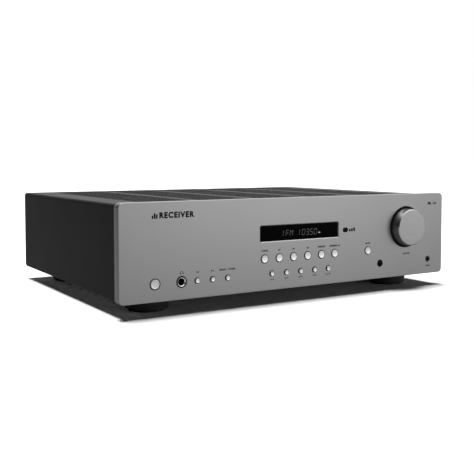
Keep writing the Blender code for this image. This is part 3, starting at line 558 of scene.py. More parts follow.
def studio():
    scene = bpy.context.scene
    scene.view_settings.view_transform = "Standard"
    world_light()
    data = bpy.data.lights.new("overhead", "SUN")
    data.energy = SUN_STRENGTH
    data.angle = math.radians(SUN_ANGLE)
    overhead = bpy.data.objects.new("overhead", data)
    overhead.rotation_euler = SUN_TILT
    scene.collection.objects.link(overhead)
    area_light("softbox", (1.1, -2.0, 0.15), (0.0, FRONT, 0.05), (1.2, 0.3), 5)

    shape = bmesh.new()
    bmesh.ops.create_grid(shape, x_segments=1, y_segments=1, size=FLOOR_HALF)
    mesh = bpy.data.meshes.new("floor")
    shape.to_mesh(mesh)
    shape.free()
    floor = bpy.data.objects.new("floor", mesh)
    scene.collection.objects.link(floor)
    net = Network("pale_floor")
    net.shader["Roughness"].default_value = 0.8
    net.shader["Specular IOR Level"].default_value = 0.0
    path = net.nodes.new("ShaderNodeLightPath")
    tone = net.nodes.new("ShaderNodeMapRange")
    tone.inputs["To Min"].default_value = FLOOR_BOUNCE
    tone.inputs["To Max"].default_value = FLOOR_SEEN
    net.links.new(path.outputs["Is Camera Ray"], tone.inputs["Value"])
    net.links.new(tone.outputs["Result"], net.shader["Base Color"])
    mesh.materials.append(net.material)


# Front ---------------------------------------------------------------------------------


FRONT_ROUND = {"headphone_jack": 11.0 * MM, "aux_jack": 6.6 * MM, "ir_window": 7.6 * MM}
KNOB_HOLE = 49.2 * MM


def front_panel():
    """The face with every opening eased, and the rim that returns behind it."""
    width, height = extent("front_panel").x, extent("front_panel").z
    centre = middle("front_panel")
    face, depth, corner = 3 * MM, extent("front_panel").y, 5 * MM
    loops = [rounded(width, height, corner, (0, centre.z), 10)]
    for name, diameter in BUTTON_HOLES.items():
        at = middle(name)
        loops.append(ring(diameter * MM, (at.x, at.z)))
    for name in ("headphone_jack", "aux_jack", "ir_window"):
        at = middle(name)
        loops.append(ring(FRONT_ROUND[name] + 0.6 * MM, (at.x, at.z)))
    knob = middle("volume_knob")
    loops.append(ring(KNOB_HOLE, (knob.x, knob.z), 96))
    mesh = upright(plate("front_panel_shell", loops, depth, 0.35 * MM), FRONT, depth)
    made = piece("front_panel_shell", mesh, None, "case", ["front_panel"])
    inner = rounded(width - 6 * MM, height - 6 * MM, 2 * MM, (0, centre.z), 4)
    pocket = bmesh.new()
    loft(pocket, [inner, inner], [FRONT + face, FRONT + depth + MM])
    subtract(made, to_mesh("pocket", pocket))

    size, at = extent("display_window"), middle("display_window")
    chamfer, over = 0.8 * MM, 0.3 * MM
    rims = [
        rounded(size.x + 0.6 * MM + grow, size.z + 0.6 * MM + grow, 1.2 * MM + grow / 2, (at.x, at.z))
        for grow in (2 * (chamfer + over), 0, 0)
    ]
    opening = bmesh.new()
    loft(opening, rims, [FRONT - over, FRONT + chamfer, FRONT + face + MM])
    subtract(made, to_mesh("opening", opening))
    made.data.materials.clear()
    made.data.materials.append(PANEL_METAL)
    made.data.materials.append(POWER_METAL)
    flat_where(made.data, 1)
    # Painted highlight: the up-facing lower lip of the window opening gets the paler satin metal, while the
    # panel's own metal runs all round the opening.
    for polygon in made.data.polygons:
        offset = polygon.center - at
        in_window = abs(offset.x) < size.x / 2 and abs(offset.z) < size.z
        if in_window and 0.5 < polygon.normal.z < 0.9:
            polygon.material_index = 1  # the window's lower lip is paler


def display():
    """The smoked window, with the reading behind it."""
    size, at = extent("display_window"), middle("display_window")
    thickness = 2 * MM
    loop = rounded(size.x, size.z, 0.9 * MM, (at.x, at.z), 4)
    mesh = upright(plate("display_glass", [loop], thickness, 0.15 * MM), FRONT + 0.9 * MM, thickness)
    piece("display_glass", mesh, GLOSS_BLACK, "case", ["display_window"])
    reading(at, FRONT + 0.9 * MM)


# The strokes of each character on a 1 by 2 grid, from its lower left corner
STROKES = {
    "1": [((0.5, 0), (0.5, 1)), ((0.5, 1), (0.5, 2))],
    "2": [((0, 2), (1, 2)), ((1, 2), (1, 1)), ((1, 1), (0, 1)), ((0, 1), (0, 0)), ((0, 0), (1, 0))],
    "3": [((0, 2), (1, 2)), ((1, 2), (1, 1)), ((1, 1), (0, 1)), ((1, 1), (1, 0)), ((0, 0), (1, 0))],
    "5": [((1, 2), (0, 2)), ((0, 2), (0, 1)), ((0, 1), (1, 1)), ((1, 1), (1, 0)), ((1, 0), (0, 0))],
    "0": [((0, 0), (0, 1)), ((0, 1), (0, 2)), ((0, 2), (1, 2)), ((1, 2), (1, 1)), ((1, 1), (1, 0)),
          ((1, 0), (0, 0))],
    "F": [((0, 0), (0, 1)), ((0, 1), (0, 2)), ((0, 2), (1, 2)), ((0, 1), (1, 1))],
    "M": [((0, 0), (0, 1)), ((0, 1), (0, 2)), ((0, 2), (0.5, 1)), ((0.5, 1), (1, 2)),
          ((1, 2), (1, 1)), ((1, 1), (1, 0))],
}


def stroke(shape, start, end, wide, front_y):
    """Adds one lit segment, a thin bar with pointed ends."""
    start, end = Vector(start), Vector(end)
    along = (end - start).normalized()
    across = Vector((-along.y, along.x)) * wide / 2
    start, end = start + along * wide * 0.35, end - along * wide * 0.35
    corners = [
        start, start + along * wide / 2 + across, end - along * wide / 2 + across,
        end, end - along * wide / 2 - across, start + along * wide / 2 - across,
    ]
    near = [shape.verts.new((c.x, front_y - 0.03 * MM, c.y)) for c in corners]
    far = [shape.verts.new((c.x, front_y + 0.05 * MM, c.y)) for c in corners]
    shape.faces.new(near)
    shape.faces.new(far[::-1])
    for i in range(6):
        j = (i + 1) % 6
        shape.faces.new((near[j], near[i], far[i], far[j]))


def reading(at, front_y):
    """A plain station reading in slanted segments, and a small stereo mark."""
    cell, high, pitch, slant = 3.5 * MM, 3.1 * MM, 5.4 * MM, 0.12
    x, low = at.x - 24.6 * MM, at.z - 3.6 * MM
    shape = bmesh.new()
    for character in "1FM 103.50":
        if character == ".":
            dot = (x - 1.1 * MM, low)
            stroke(shape, dot, (dot[0] + 0.8 * MM, dot[1]), 0.75 * MM, front_y)
            continue
        for start, end in STROKES.get(character, ()):
            ends = [
                (x + point[0] * cell + point[1] * high * slant, low + point[1] * high)
                for point in (start, end)
            ]
            stroke(shape, *ends, 0.62 * MM, front_y)
        x += pitch
    piece("display_reading", to_mesh("display_reading", shape), DIGITS)
    shape = bmesh.new()
    mark = (x + 0.2 * MM, low + 1.7 * MM)
    stroke(shape, mark, (mark[0] + 3.8 * MM, mark[1]), 1.3 * MM, front_y)
    piece("display_mark", to_mesh("display_mark", shape), DIGIT_BRIGHT)


def push_button(name):
    """A turned button with a softly dished face, on its own body."""
    low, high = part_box(name)
    at = middle(name)
    radius = (high.x - low.x) / 2 - FLANGE
    face = low.y
    dish = 0.018 * radius
    profile = [(0, face + dish + 0.05 * MM)]
    for step in range(1, 6):
        share = step / 5
        profile.append((radius * 0.84 * share, face + 0.05 * MM + dish * (1 - share * share)))
    profile += [(radius * 0.9, face), (radius * 0.95, face + 0.03 * MM)]
    profile += [(radius * 0.985, face + 0.1 * MM), (radius, face + 0.22 * MM)]
    back = high.y - 1.5 * MM
    profile += [(radius, back), (radius + FLANGE, back), (radius + FLANGE, high.y), (0, high.y)]
    metal = POWER_METAL if name == "power_button" else BUTTON_METAL
    turned(name + "_cap", profile, at, metal, 48, name, "button_aluminium", [name])


def button_gap_shade():
    """A near-black sleeve lining the hole round each button, just behind the panel's face: painted shade in
    the gap between button and panel.
    """
    shape = bmesh.new()
    for name, diameter in BUTTON_HOLES.items():
        low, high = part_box(name)
        at = middle(name)
        button = (high.x - low.x) / 2 - FLANGE
        outer, inner = diameter * MM / 2 - 0.02 * MM, button + 0.22 * MM
        front, back = FRONT + 0.4 * MM, FRONT + 3.25 * MM
        profile = [(inner, front), (outer, front), (outer, back), (inner, back)]
        lathe(shape, profile, (at.x, 0, at.z), 48)
    piece("button_gap_shade", to_mesh("button_gap_shade", shape), DEEP_BLACK)


def headphone_socket():
    """A black collar, a bright funnel inside it, and the spring contact in the bore."""
    name = "headphone_jack"
    at = middle(name)
    outer, ferrule, bore = FRONT_ROUND[name] / 2, 4.7 * MM, 3.2 * MM
    floor = FRONT + 30 * MM
    shape = bmesh.new()
    profile = [
        (0, floor), (bore, floor), (bore, FRONT + 2.5 * MM), (ferrule, FRONT + 2.5 * MM),
        (ferrule, FRONT - 0.25 * MM), (ferrule + 0.15 * MM, FRONT - 0.4 * MM),
        (outer - 0.2 * MM, FRONT - 0.4 * MM), (outer, FRONT - 0.2 * MM),
        (outer, floor + MM), (0, floor + MM),
    ]
    lathe(shape, profile, (at.x, 0, at.z))
    half = 7 * MM
    box_faces(
        shape,
        (at.x - half, FRONT + 7.9 * MM, at.z - half),
        (at.x + half, FRONT + 33.5 * MM, at.z + half),
        0.4 * MM,
    )
    body = to_mesh("headphone_body", shape)
    piece("headphone_body", body, DEEP_BLACK, "case", [name])

    lip = ferrule - 0.05 * MM
    profile = [
        (bore + 0.05 * MM, FRONT + 2.4 * MM), (bore + 0.05 * MM, FRONT + 0.9 * MM),
        (bore + 0.3 * MM, FRONT + 0.45 * MM), (lip - 0.55 * MM, FRONT - 0.3 * MM),
        (lip - 0.3 * MM, FRONT - 0.42 * MM), (lip - 0.1 * MM, FRONT - 0.35 * MM),
        (lip, FRONT - 0.15 * MM), (lip, FRONT + 2.4 * MM),
    ]
    turned("headphone_ferrule", profile, at, CHROME, 64)
    shape = bmesh.new()
    box_faces(
        shape,
        (at.x - 0.9 * MM, FRONT + 6 * MM, at.z + 2.4 * MM),
        (at.x + 0.9 * MM, FRONT + 14 * MM, at.z + 3.0 * MM),
        0.2 * MM,
    )
    piece("headphone_contact", to_mesh("headphone_contact", shape), NICKEL)


def small_jack():
    name = "aux_jack"
    at = middle(name)
    outer, bore = FRONT_ROUND[name] / 2, 1.8 * MM
    depth = FRONT + 16 * MM
    profile = [
        (0, depth), (bore, depth), (bore, FRONT + 0.2 * MM),
        (bore + 0.35 * MM, FRONT - 0.2 * MM), (bore + 0.5 * MM, FRONT - 0.3 * MM),
        (outer - 0.35 * MM, FRONT - 0.3 * MM), (outer - 0.1 * MM, FRONT - 0.15 * MM),
        (outer, FRONT + 0.1 * MM), (outer, depth + MM), (0, depth + MM),
    ]
    turned("aux_socket", profile, at, BLACK_PLASTIC, 48, "case", "black_plastic", [name])


def remote_window():
    name = "ir_window"
    at, back = middle(name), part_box(name)[1].y
    radius = FRONT_ROUND[name] / 2
    profile = [(0, FRONT - 0.55 * MM)]
    for step in range(1, 9):
        angle = math.radians(90 * step / 8)
        profile.append((radius * math.sin(angle), FRONT + 0.4 * MM - 0.95 * MM * math.cos(angle)))
    profile += [(radius, back), (0, back)]
    turned("remote_window", profile, at, GLOSS_BLACK, 48, "case", "display_black", [name])


def volume_knob():
    """A turned knob with a bright chamfer, in its black recess."""
    low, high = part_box("volume_knob")
    at = middle("volume_knob")
    base = (high.x - low.x) / 2
    face_radius = base - 0.95 * MM
    chamfer = 0.8 * MM
    profile = [(0, low.y + 0.12 * MM), (face_radius * 0.5, low.y + 0.09 * MM)]
    profile += [(face_radius - chamfer - 0.3 * MM, low.y), (face_radius - chamfer, low.y)]
    profile += [(face_radius, low.y + chamfer), (base, high.y), (3.3 * MM, high.y)]
    profile += [(3.3 * MM, low.y + 5 * MM), (0, low.y + 5 * MM)]
    slot, nodes = "knob_aluminium", ["volume_knob"]
    mesh = turned("knob_body", profile, at, KNOB_FACE, 128, "knob", slot, nodes, 20).data
    mesh.materials.append(POLISHED_EDGE)
    for face in mesh.polygons:
        reach = math.hypot(face.center.x - at.x, face.center.z - at.z)
        if low.y < face.center.y < low.y + chamfer and reach > face_radius - chamfer:
            face.material_index = 1

    outer = extent("knob_surround").x / 2
    wall = 1.2 * MM
    front, back = FRONT + 0.05 * MM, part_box("knob_surround")[1].y
    floor = FRONT + 5 * MM
    profile = [
        (outer - wall + 0.15 * MM, front), (outer - 0.2 * MM, front), (outer, front + 0.2 * MM),
        (outer, back), (4.5 * MM, back), (4.5 * MM, floor), (outer - wall - 0.6 * MM, floor),
        (outer - wall, floor - 0.6 * MM), (outer - wall, front + 0.15 * MM),
    ]
    nodes = ["knob_surround"]
    turned("knob_recess", profile, at, DEEP_BLACK, 96, "case", "black_plastic", nodes)


def front_print():
    """Generic wording and marks on the panel, and no names."""
    ink = FRONT - 0.005 * MM

    def over(name, node, text, rise, height=1.75 * MM, shift=0.0, spacing=1.0):
        at = middle(node)
        place = (at.x + shift, ink, at.z + rise)
        lettering("print_" + name, text, place, height, PRINT_DARK, spacing=spacing, bold=0.13 * MM)

    texts = (("TUNER", 1.2), ("A1", 1.1), ("A2", 1.1), ("A3", 1.1), ("WIRELESS", 1.0), ("SPEAKERS A B", 1.0))
    for node, (text, spacing) in zip(SOURCES, texts):
        over(node, node, text, 8.6 * MM, spacing=spacing)
    for i, node in enumerate(PRESETS):
        over(node, node, f"{i + 1} / {i + 6}", -6.4 * MM, spacing=1.05)
    over("mute", MUTE[0], "MUTE", 8.4 * MM, spacing=1.15)
    over("mode", SMALL[2], "MODE  /  STORE", 8.7 * MM, shift=-0.4 * MM, spacing=1.1)
    over("aux", "aux_jack", "AUX IN", -8.2 * MM, 1.6 * MM)
    low = middle("headphone_jack").z - middle("volume_knob").z
    over("volume", "volume_knob", "VOLUME", low + 9.0 * MM, 1.9 * MM, MM, 1.15)
    tuning_arrows(ink)
    headphone_mark(ink)
    title_mark(ink)
    signal_mark(ink)
    top = PANEL_LOW.z + 85.5 * MM
    lettering("print_band", "FM", (193.0 * MM, ink, top), 3.1 * MM, PRINT_DARK, bold=0.26 * MM)
    lettering("print_band_light", "AM", (201.5 * MM, ink, top), 3.1 * MM, PRINT_LIGHT, bold=0.1 * MM)


def ink_shape(name, draw, material):
    shape = bmesh.new()
    draw(shape)
    mesh = to_mesh(name, shape)
    piece(name, mesh, material)


def ink_bar(shape, low, high, ink):
    box_faces(shape, (low[0], ink, low[1]), (high[0], ink + 0.03 * MM, high[1]))


def tuning_arrows(ink):
    """A pair of solid arrowheads over each tuning button."""
    for sign, node in ((-1, SMALL[0]), (1, SMALL[1])):
        at = middle(node)
        height = at.z + 8.6 * MM

        def draw(shape):
            for shift in (-0.9, 0.9):
                tip, tail = at.x + (shift + sign * 0.9) * MM, at.x + (shift - sign * 0.8) * MM
                corners = [(tip, height), (tail, height + 0.9 * MM), (tail, height - 0.9 * MM)]
                shape.faces.new([shape.verts.new((x, ink, z)) for x, z in corners])

        ink_shape(f"print_arrow_{node}", draw, PRINT_DARK)


def headphone_mark(ink):
    at = middle("headphone_jack")
    centre = Vector((at.x, at.z + 9.2 * MM))

    def draw(shape):
        steps = 12
        rows = []
        for i in range(steps + 1):
            angle = math.pi * i / steps
            rows.append(
                [
                    shape.verts.new(
                        (centre.x + r * MM * math.cos(angle), ink, centre.y + r * MM * math.sin(angle))
                    )
                    for r in (1.2, 1.75)
                ]
            )
        for row, following in zip(rows, rows[1:]):
            shape.faces.new((row[0], row[1], following[1], following[0]))
        for side in (-1, 1):
            x = centre.x + side * 1.42 * MM
            low, high = (x - 0.5 * MM, centre.y - 1.4 * MM), (x + 0.5 * MM, centre.y + 0.1 * MM)
            ink_bar(shape, low, high, ink)

    ink_shape("print_headphones", draw, PRINT_SOFT)


def title_mark(ink):
    """Three level bars and a plain word at the upper left."""
    left, base = -180.2 * MM, PANEL_LOW.z + 81.8 * MM

    def draw(shape):
        for i, high in enumerate((3.2, 5.4, 4.2)):
            x = left + i * 2.2 * MM
            ink_bar(shape, (x, base), (x + 1.7 * MM, base + high * MM), ink)

    ink_shape("print_level_bars", draw, PRINT_DARK)
    place = (-153.2 * MM, ink, PANEL_LOW.z + 84.6 * MM)
    lettering("print_title", "RECEIVER", place, 5.6 * MM, PRINT_DARK, spacing=1.2, bold=0.42 * MM)


def signal_mark(ink):
    """A plain pill and three rising bars to the right of the display."""
    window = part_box("display_window")[1]
    left, height = window.x + 7.0 * MM, middle("display_window").z - 1.0 * MM

    def draw(shape):
        outline = rounded(7.6 * MM, 5.4 * MM, 2.6 * MM, (left + 3.6 * MM, height), 6)
        shape.faces.new([shape.verts.new((x, ink, z)) for x, z in outline])
        for i in range(3):
            x = left + (8.6 + i * 3.3) * MM
            ink_bar(
                shape, (x, height - 2.0 * MM), (x + 2.5 * MM, height + (0.6 + 0.8 * i) * MM), ink
            )

    ink_shape("print_signal", draw, PRINT_DARK)


# Case ----------------------------------------------------------------------------------

SHEET = 1.2 * MM
SLOT_FIELDS, FIELD_PITCH, SLOT_LENGTH = 5, 73 * MM, 63 * MM
SLOT_WIDTH, SLOT_PITCH = 3.3 * MM, 5.0 * MM
COVER_BEND = 3.6 * MM


def slot_outline(x, y):
    """One cooling slot with round ends, running left to right."""
    radius = SLOT_WIDTH / 2
    points = []
    for side, first in ((1, -90), (-1, 90)):
        for step in range(5):
            angle = math.radians(first + 180 * step / 4)
            centre = x + side * (SLOT_LENGTH / 2 - radius)
            points.append((centre + radius * math.cos(angle), y + radius * math.sin(angle)))
    return points


def top_cover():
    """Bent steel: a slotted top between two bends, two sides, and a rear lip."""
    front, back = COVER_LOW.y, COVER_HIGH.y
    half, top, bottom = COVER_HIGH.x, COVER_HIGH.z, COVER_LOW.z
    flat_half = half - COVER_BEND
    top_centre = (0, (front + back) / 2)
    loops = [
        [(-flat_half, front), (flat_half, front), (flat_half, back), (-flat_half, back)]
    ]
    rows = int((back - front - 24 * MM) / SLOT_PITCH)
    first = top_centre[1] - (rows - 1) * SLOT_PITCH / 2
    for field in range(SLOT_FIELDS):
        x = (field - (SLOT_FIELDS - 1) / 2) * FIELD_PITCH
        loops += [slot_outline(x, first + row * SLOT_PITCH) for row in range(rows)]
    sheet = plate("cover_top", loops, SHEET)
    sheet.transform(Matrix.Translation((0, 0, top - SHEET / 2)))
    flat_where(sheet, 2)

    shape = bmesh.new()
    for side in (-1, 1):
        outline = []
        for radius in (COVER_BEND, COVER_BEND - SHEET):
            arc = []
            for step in range(9):
                angle = math.radians(90 * step / 8)
                across = side * (flat_half + radius * math.sin(angle))
                arc.append((across, top - COVER_BEND + radius * math.cos(angle)))
            arc.append((arc[-1][0], bottom))
            outline += arc if radius == COVER_BEND else arc[::-1]
        near = [shape.verts.new((x, front, z)) for x, z in outline]
        far = [shape.verts.new((x, back, z)) for x, z in outline]
        shape.faces.new(near)
        shape.faces.new(far[::-1])
        for i in range(len(outline)):
            j = (i + 1) % len(outline)
            shape.faces.new((near[j], near[i], far[i], far[j]))
    corner = [
        edge for edge in shape.edges
        if all(v.co.y > back - 1e-5 and v.co.z < bottom + 1e-5 for v in edge.verts)
    ]
    bmesh.ops.bevel(shape, geom=corner, offset=5 * MM, segments=8, profile=0.5, affect="EDGES")
    sides = to_mesh("cover_sides", shape, 0, 30)

    shape = bmesh.new()
    lip_back = BACK - SHEET - 0.3 * MM
    box_faces(
        shape,
        (-0.2, lip_back - SHEET, top - SHEET - 12 * MM),
        (0.2, lip_back, top - SHEET),
    )
    lip = to_mesh("cover_lip", shape)
    mesh = join_meshes("cover_shell", [sheet, sides, lip])
    piece("cover_shell", mesh, COVER_PAINT, "case", ["top_cover"])


def foot(name):
    low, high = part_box(name)
    at = middle(name)
    radius = (high.x - low.x) / 2
    shape = bmesh.new()
    profile = [
        (0, 2.2 * MM), (radius - 3.2 * MM, 2.2 * MM), (radius - 2.6 * MM, 1.6 * MM),
        (radius - 1.6 * MM, 1.6 * MM), (radius - 0.8 * MM, 2.2 * MM), (radius - 0.3 * MM, 3.4 * MM),
        (radius - 0.3 * MM, 6.0 * MM), (radius - 0.9 * MM, 6.4 * MM), (radius - 0.9 * MM, 7.2 * MM),
        (radius - 0.2 * MM, 7.6 * MM), (radius, high.z - 1.2 * MM), (radius - 0.5 * MM, high.z),
        (0, high.z),
    ]
    lathe(shape, profile, (at.x, at.y, 0), 64, axis="Z")
    mesh = to_mesh(name + "_body", shape, 2)
    piece(name + "_body", mesh, RUBBER, "case", [name])
    shape = bmesh.new()
    pad = radius - 3.6 * MM
    profile = [
        (0, 0), (pad - 0.6 * MM, 0), (pad - 0.1 * MM, 0.3 * MM), (pad, 0.8 * MM),
        (pad, 2.1 * MM), (0, 2.1 * MM),
    ]
    lathe(shape, profile, (at.x, at.y, 0), 64, axis="Z")
    piece(name + "_pad", to_mesh(name + "_pad", shape, 2), RUBBER)


# Rear ----------------------------------------------------------------------------------


def sockets_in(node, columns, pitch, row_pitch):
    """Row and centre of each socket in two rows, in the middle of the node."""
    at = middle(node)
    for row in range(2):
        for column in range(columns):
            x = at.x + (column - (columns - 1) / 2) * pitch
            yield row, (x, 0, at.z + (row - 0.5) * row_pitch)


def moulding(name, cutters=()):
    """The node's moulded block, up to its face 1 mm behind the rear panel."""
    low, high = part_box(name)
    shape = bmesh.new()
    box_faces(shape, low, (high.x, BACK + MM, high.z), 0.5 * MM)
    mesh = to_mesh(name, shape)
    made = piece(name + "_moulding", mesh, None, "case", [name])
    for cutter in cutters:
        subtract(made, to_mesh("cutter", cutter))
    made.data.materials.clear()
    made.data.materials.append(BLACK_PLASTIC)
    flat_where(made.data, 1)


PHONO_COLUMNS, PHONO_PITCH, PHONO_ROWS = 6, 18.5 * MM, 17 * MM


def phono_sockets():
    name = "phono_socket_block"
    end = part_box(name)[1].y
    moulding(name)
    sleeves, contacts = bmesh.new(), bmesh.new()
    inserts = (bmesh.new(), bmesh.new())
    for row, place in sockets_in(name, PHONO_COLUMNS, PHONO_PITCH, PHONO_ROWS):
        outer, inner = 4.15 * MM, 3.4 * MM
        foot = BACK + 0.8 * MM
        profile = [
            (inner, foot), (inner, end - 0.3 * MM), (inner + 0.2 * MM, end),
            (outer - 0.25 * MM, end), (outer, end - 0.3 * MM), (outer, foot + MM),
            (outer + 0.5 * MM, foot + MM), (outer + 0.5 * MM, foot),
        ]
        lathe(sleeves, profile, place, 40)
        bore, face = 1.75 * MM, end - 0.6 * MM
        profile = [(bore, foot), (bore, face), (inner - 0.02 * MM, face), (inner - 0.02 * MM, foot)]
        lathe(inserts[row], profile, place, 32)
        ring_out, ring_in = 6.2 * MM, outer + 0.6 * MM
        profile = [
            (ring_in, foot), (ring_in, BACK + 1.5 * MM), (ring_in + 0.2 * MM, BACK + 1.7 * MM),
            (ring_out - 0.3 * MM, BACK + 1.7 * MM), (ring_out, BACK + 1.4 * MM), (ring_out, foot),
        ]
        lathe(inserts[row], profile, place, 40)
        profile = [
            (1.3 * MM, foot), (1.3 * MM, end - 1.5 * MM),
            (bore - 0.03 * MM, end - 1.5 * MM), (bore - 0.03 * MM, foot),
        ]
        lathe(contacts, profile, place, 24)
    piece("phono_sleeves", to_mesh("phono_sleeves", sleeves), NICKEL)
    piece("phono_contacts", to_mesh("phono_contacts", contacts), GOLD)
    piece("phono_inserts_red", to_mesh("phono_inserts_red", inserts[0]), RED_INSERT)
    piece("phono_inserts_white", to_mesh("phono_inserts_white", inserts[1]), WHITE_INSERT)


def speaker_terminals():
    name = "speaker_terminal_block"
    moulding(name)
    collars, studs = (bmesh.new(), bmesh.new()), bmesh.new()
    for i in range(1, 9):
        cap = f"speaker_cap_{i}"
        low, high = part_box(cap)
        at = middle(cap)
        red = (i - 1) % 4 % 2
        place = (at.x, 0, at.z)
        wide, front = 5.4 * MM, low.y - 0.3 * MM
        profile = [
            (0, BACK + 0.8 * MM), (wide + 0.6 * MM, BACK + 0.8 * MM),
            (wide + 0.6 * MM, BACK + 1.5 * MM), (wide, BACK + 1.8 * MM),
            (wide, front - 0.2 * MM), (wide - 0.2 * MM, front), (0, front),
        ]
        lathe(collars[red], profile, place, 40)
        profile = [(0, front - MM)]
        turns, stud = 12, 2 * MM
        length = high.y - 2.4 * MM - front
        for turn in range(turns):
            start = front + length * turn / turns
            profile += [(stud - 0.25 * MM, start), (stud, start + length / turns / 2)]
        profile.append((0, high.y - 2.4 * MM))
        lathe(studs, profile, place, 20)
        speaker_cap(cap, low, high, at, RED_CAP if red else BLACK_CAP)
    piece("terminal_collars_black", to_mesh("terminal_collars_black", collars[0]), BLACK_CAP)
    piece("terminal_collars_red", to_mesh("terminal_collars_red", collars[1]), RED_CAP)
    piece("terminal_studs", to_mesh("terminal_studs", studs), NICKEL)


def speaker_cap(name, low, high, at, material):
    """A fluted screw cap with a recess for a plug in its end."""
    radius, bore, recess = (high.x - low.x) / 2, 2.3 * MM, 2.7 * MM
    start, end = low.y, high.y
    profile = [
        (0, end - 2.2 * MM), (bore, end - 2.2 * MM), (bore, start), (radius - 0.5 * MM, start),
        (radius, start + 0.5 * MM), (radius, end - 3.2 * MM), (radius - 0.35 * MM, end - 2.9 * MM),
        (radius - 0.35 * MM, end - 0.9 * MM), (radius - 0.6 * MM, end - 0.3 * MM),
        (radius - 1.1 * MM, end), (recess + 0.2 * MM, end), (recess, end - 0.2 * MM),
        (recess, end - 1.2 * MM), (0, end - 1.2 * MM),
    ]
    slot = "red_plastic" if material is RED_CAP else "cap_black"
    flutes = {"flutes": 12, "flute_depth": 0.55 * MM}
    turned(name + "_fluted", profile, at, material, 96, name, slot, [name], 28, **flutes)
    profile = [
        (1.1 * MM, end - 1.19 * MM), (1.1 * MM, end - 0.75 * MM), (1.4 * MM, end - 0.45 * MM),
        (2.1 * MM, end - 0.45 * MM), (2.3 * MM, end - 0.65 * MM), (2.3 * MM, end - 1.19 * MM),
    ]
    turned(name + "_ferrule", profile, at, GOLD, 32, name)


def threaded(shape, place, radius, start, end, pitch, bore, sides=32):
    """Adds a hollow post with thread rings along it."""
    profile = [(bore, start), (bore, end - 0.3 * MM), (bore + 0.3 * MM, end)]
    profile += [(radius - 0.4 * MM, end)]
    rings = int((end - start - 0.6 * MM) / pitch)
    for i in range(rings):
        crest = end - 0.4 * MM - i * pitch
        profile += [(radius, crest), (radius - pitch * 0.35, crest - pitch / 2)]
    profile.append((radius, start))
    lathe(shape, profile, place, sides)


def aerial_sockets():
    """The threaded coaxial socket, and the two-pin socket beside it."""
    name = "antenna_block"
    low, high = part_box(name)
    at = middle(name)
    block = BACK + MM
    recess = bmesh.new()
    x = at.x - 9.5 * MM
    rims = [
        rounded(13 * MM + grow, 3.8 * MM + grow, 0.6 * MM + grow / 2, (x, at.z), 4)
        for grow in (0.8 * MM, 0, 0)
    ]
    loft(recess, rims, [block + 0.1 * MM, block - 0.3 * MM, block - 8 * MM])
    moulding(name, [recess])
    pins = bmesh.new()
    for side in (-1, 1):
        centre = x + side * 2.8 * MM
        corner = (centre - 0.4 * MM, block - 8.2 * MM, at.z - 0.4 * MM)
        box_faces(pins, corner, (centre + 0.4 * MM, block - MM, at.z + 0.4 * MM), 0.12 * MM)
    piece("aerial_pins", to_mesh("aerial_pins", pins), GOLD)
    place = Vector((at.x + 10.5 * MM, 0, at.z))
    shape = bmesh.new()
    threaded(shape, place, 4.75 * MM, BACK + 0.8 * MM, high.y, 0.8 * MM, 3.6 * MM)
    nut = [(4.7 * MM, BACK + 0.8 * MM), (4.7 * MM, BACK + 2.6 * MM)]
    nut += [(6.3 * MM, BACK + 2.6 * MM), (6.6 * MM, BACK + 2.3 * MM), (6.6 * MM, BACK + 0.8 * MM)]
    lathe(shape, nut, place, 6)
    piece("aerial_coaxial", to_mesh("aerial_coaxial", shape), NICKEL)
    face = high.y - 0.7 * MM
    profile = [
        (0, face - 3 * MM), (0.7 * MM, face - 3 * MM), (0.7 * MM, face - 0.3 * MM),
        (1.0 * MM, face), (3.55 * MM, face), (3.55 * MM, BACK + 0.9 * MM), (0, BACK + 0.9 * MM),
    ]
    turned("aerial_insulator", profile, place, WHITE_INSERT, 32)


def earth_terminal():
    name = "ground_terminal"
    low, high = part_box(name)
    at = middle(name)
    radius, start, end = (high.x - low.x) / 2, BACK + 0.3 * MM, high.y
    profile = [
        (0, low.y), (2 * MM, low.y), (2 * MM, start), (radius - 0.6 * MM, start),
        (radius - 0.6 * MM, start + 1.4 * MM), (radius - 0.3 * MM, start + 1.6 * MM),
        (radius, start + 1.9 * MM), (radius, end - 1.0 * MM), (radius - 0.3 * MM, end - 0.6 * MM),
        (radius - 0.8 * MM, end - 0.2 * MM), (radius - 1.4 * MM, end), (0, end),
    ]
    flutes = {"flutes": 24, "flute_depth": 0.3 * MM}
    slot = "tinned_steel"
    turned(name + "_thumbscrew", profile, at, NICKEL, 144, name, slot, [name], 28, **flutes)


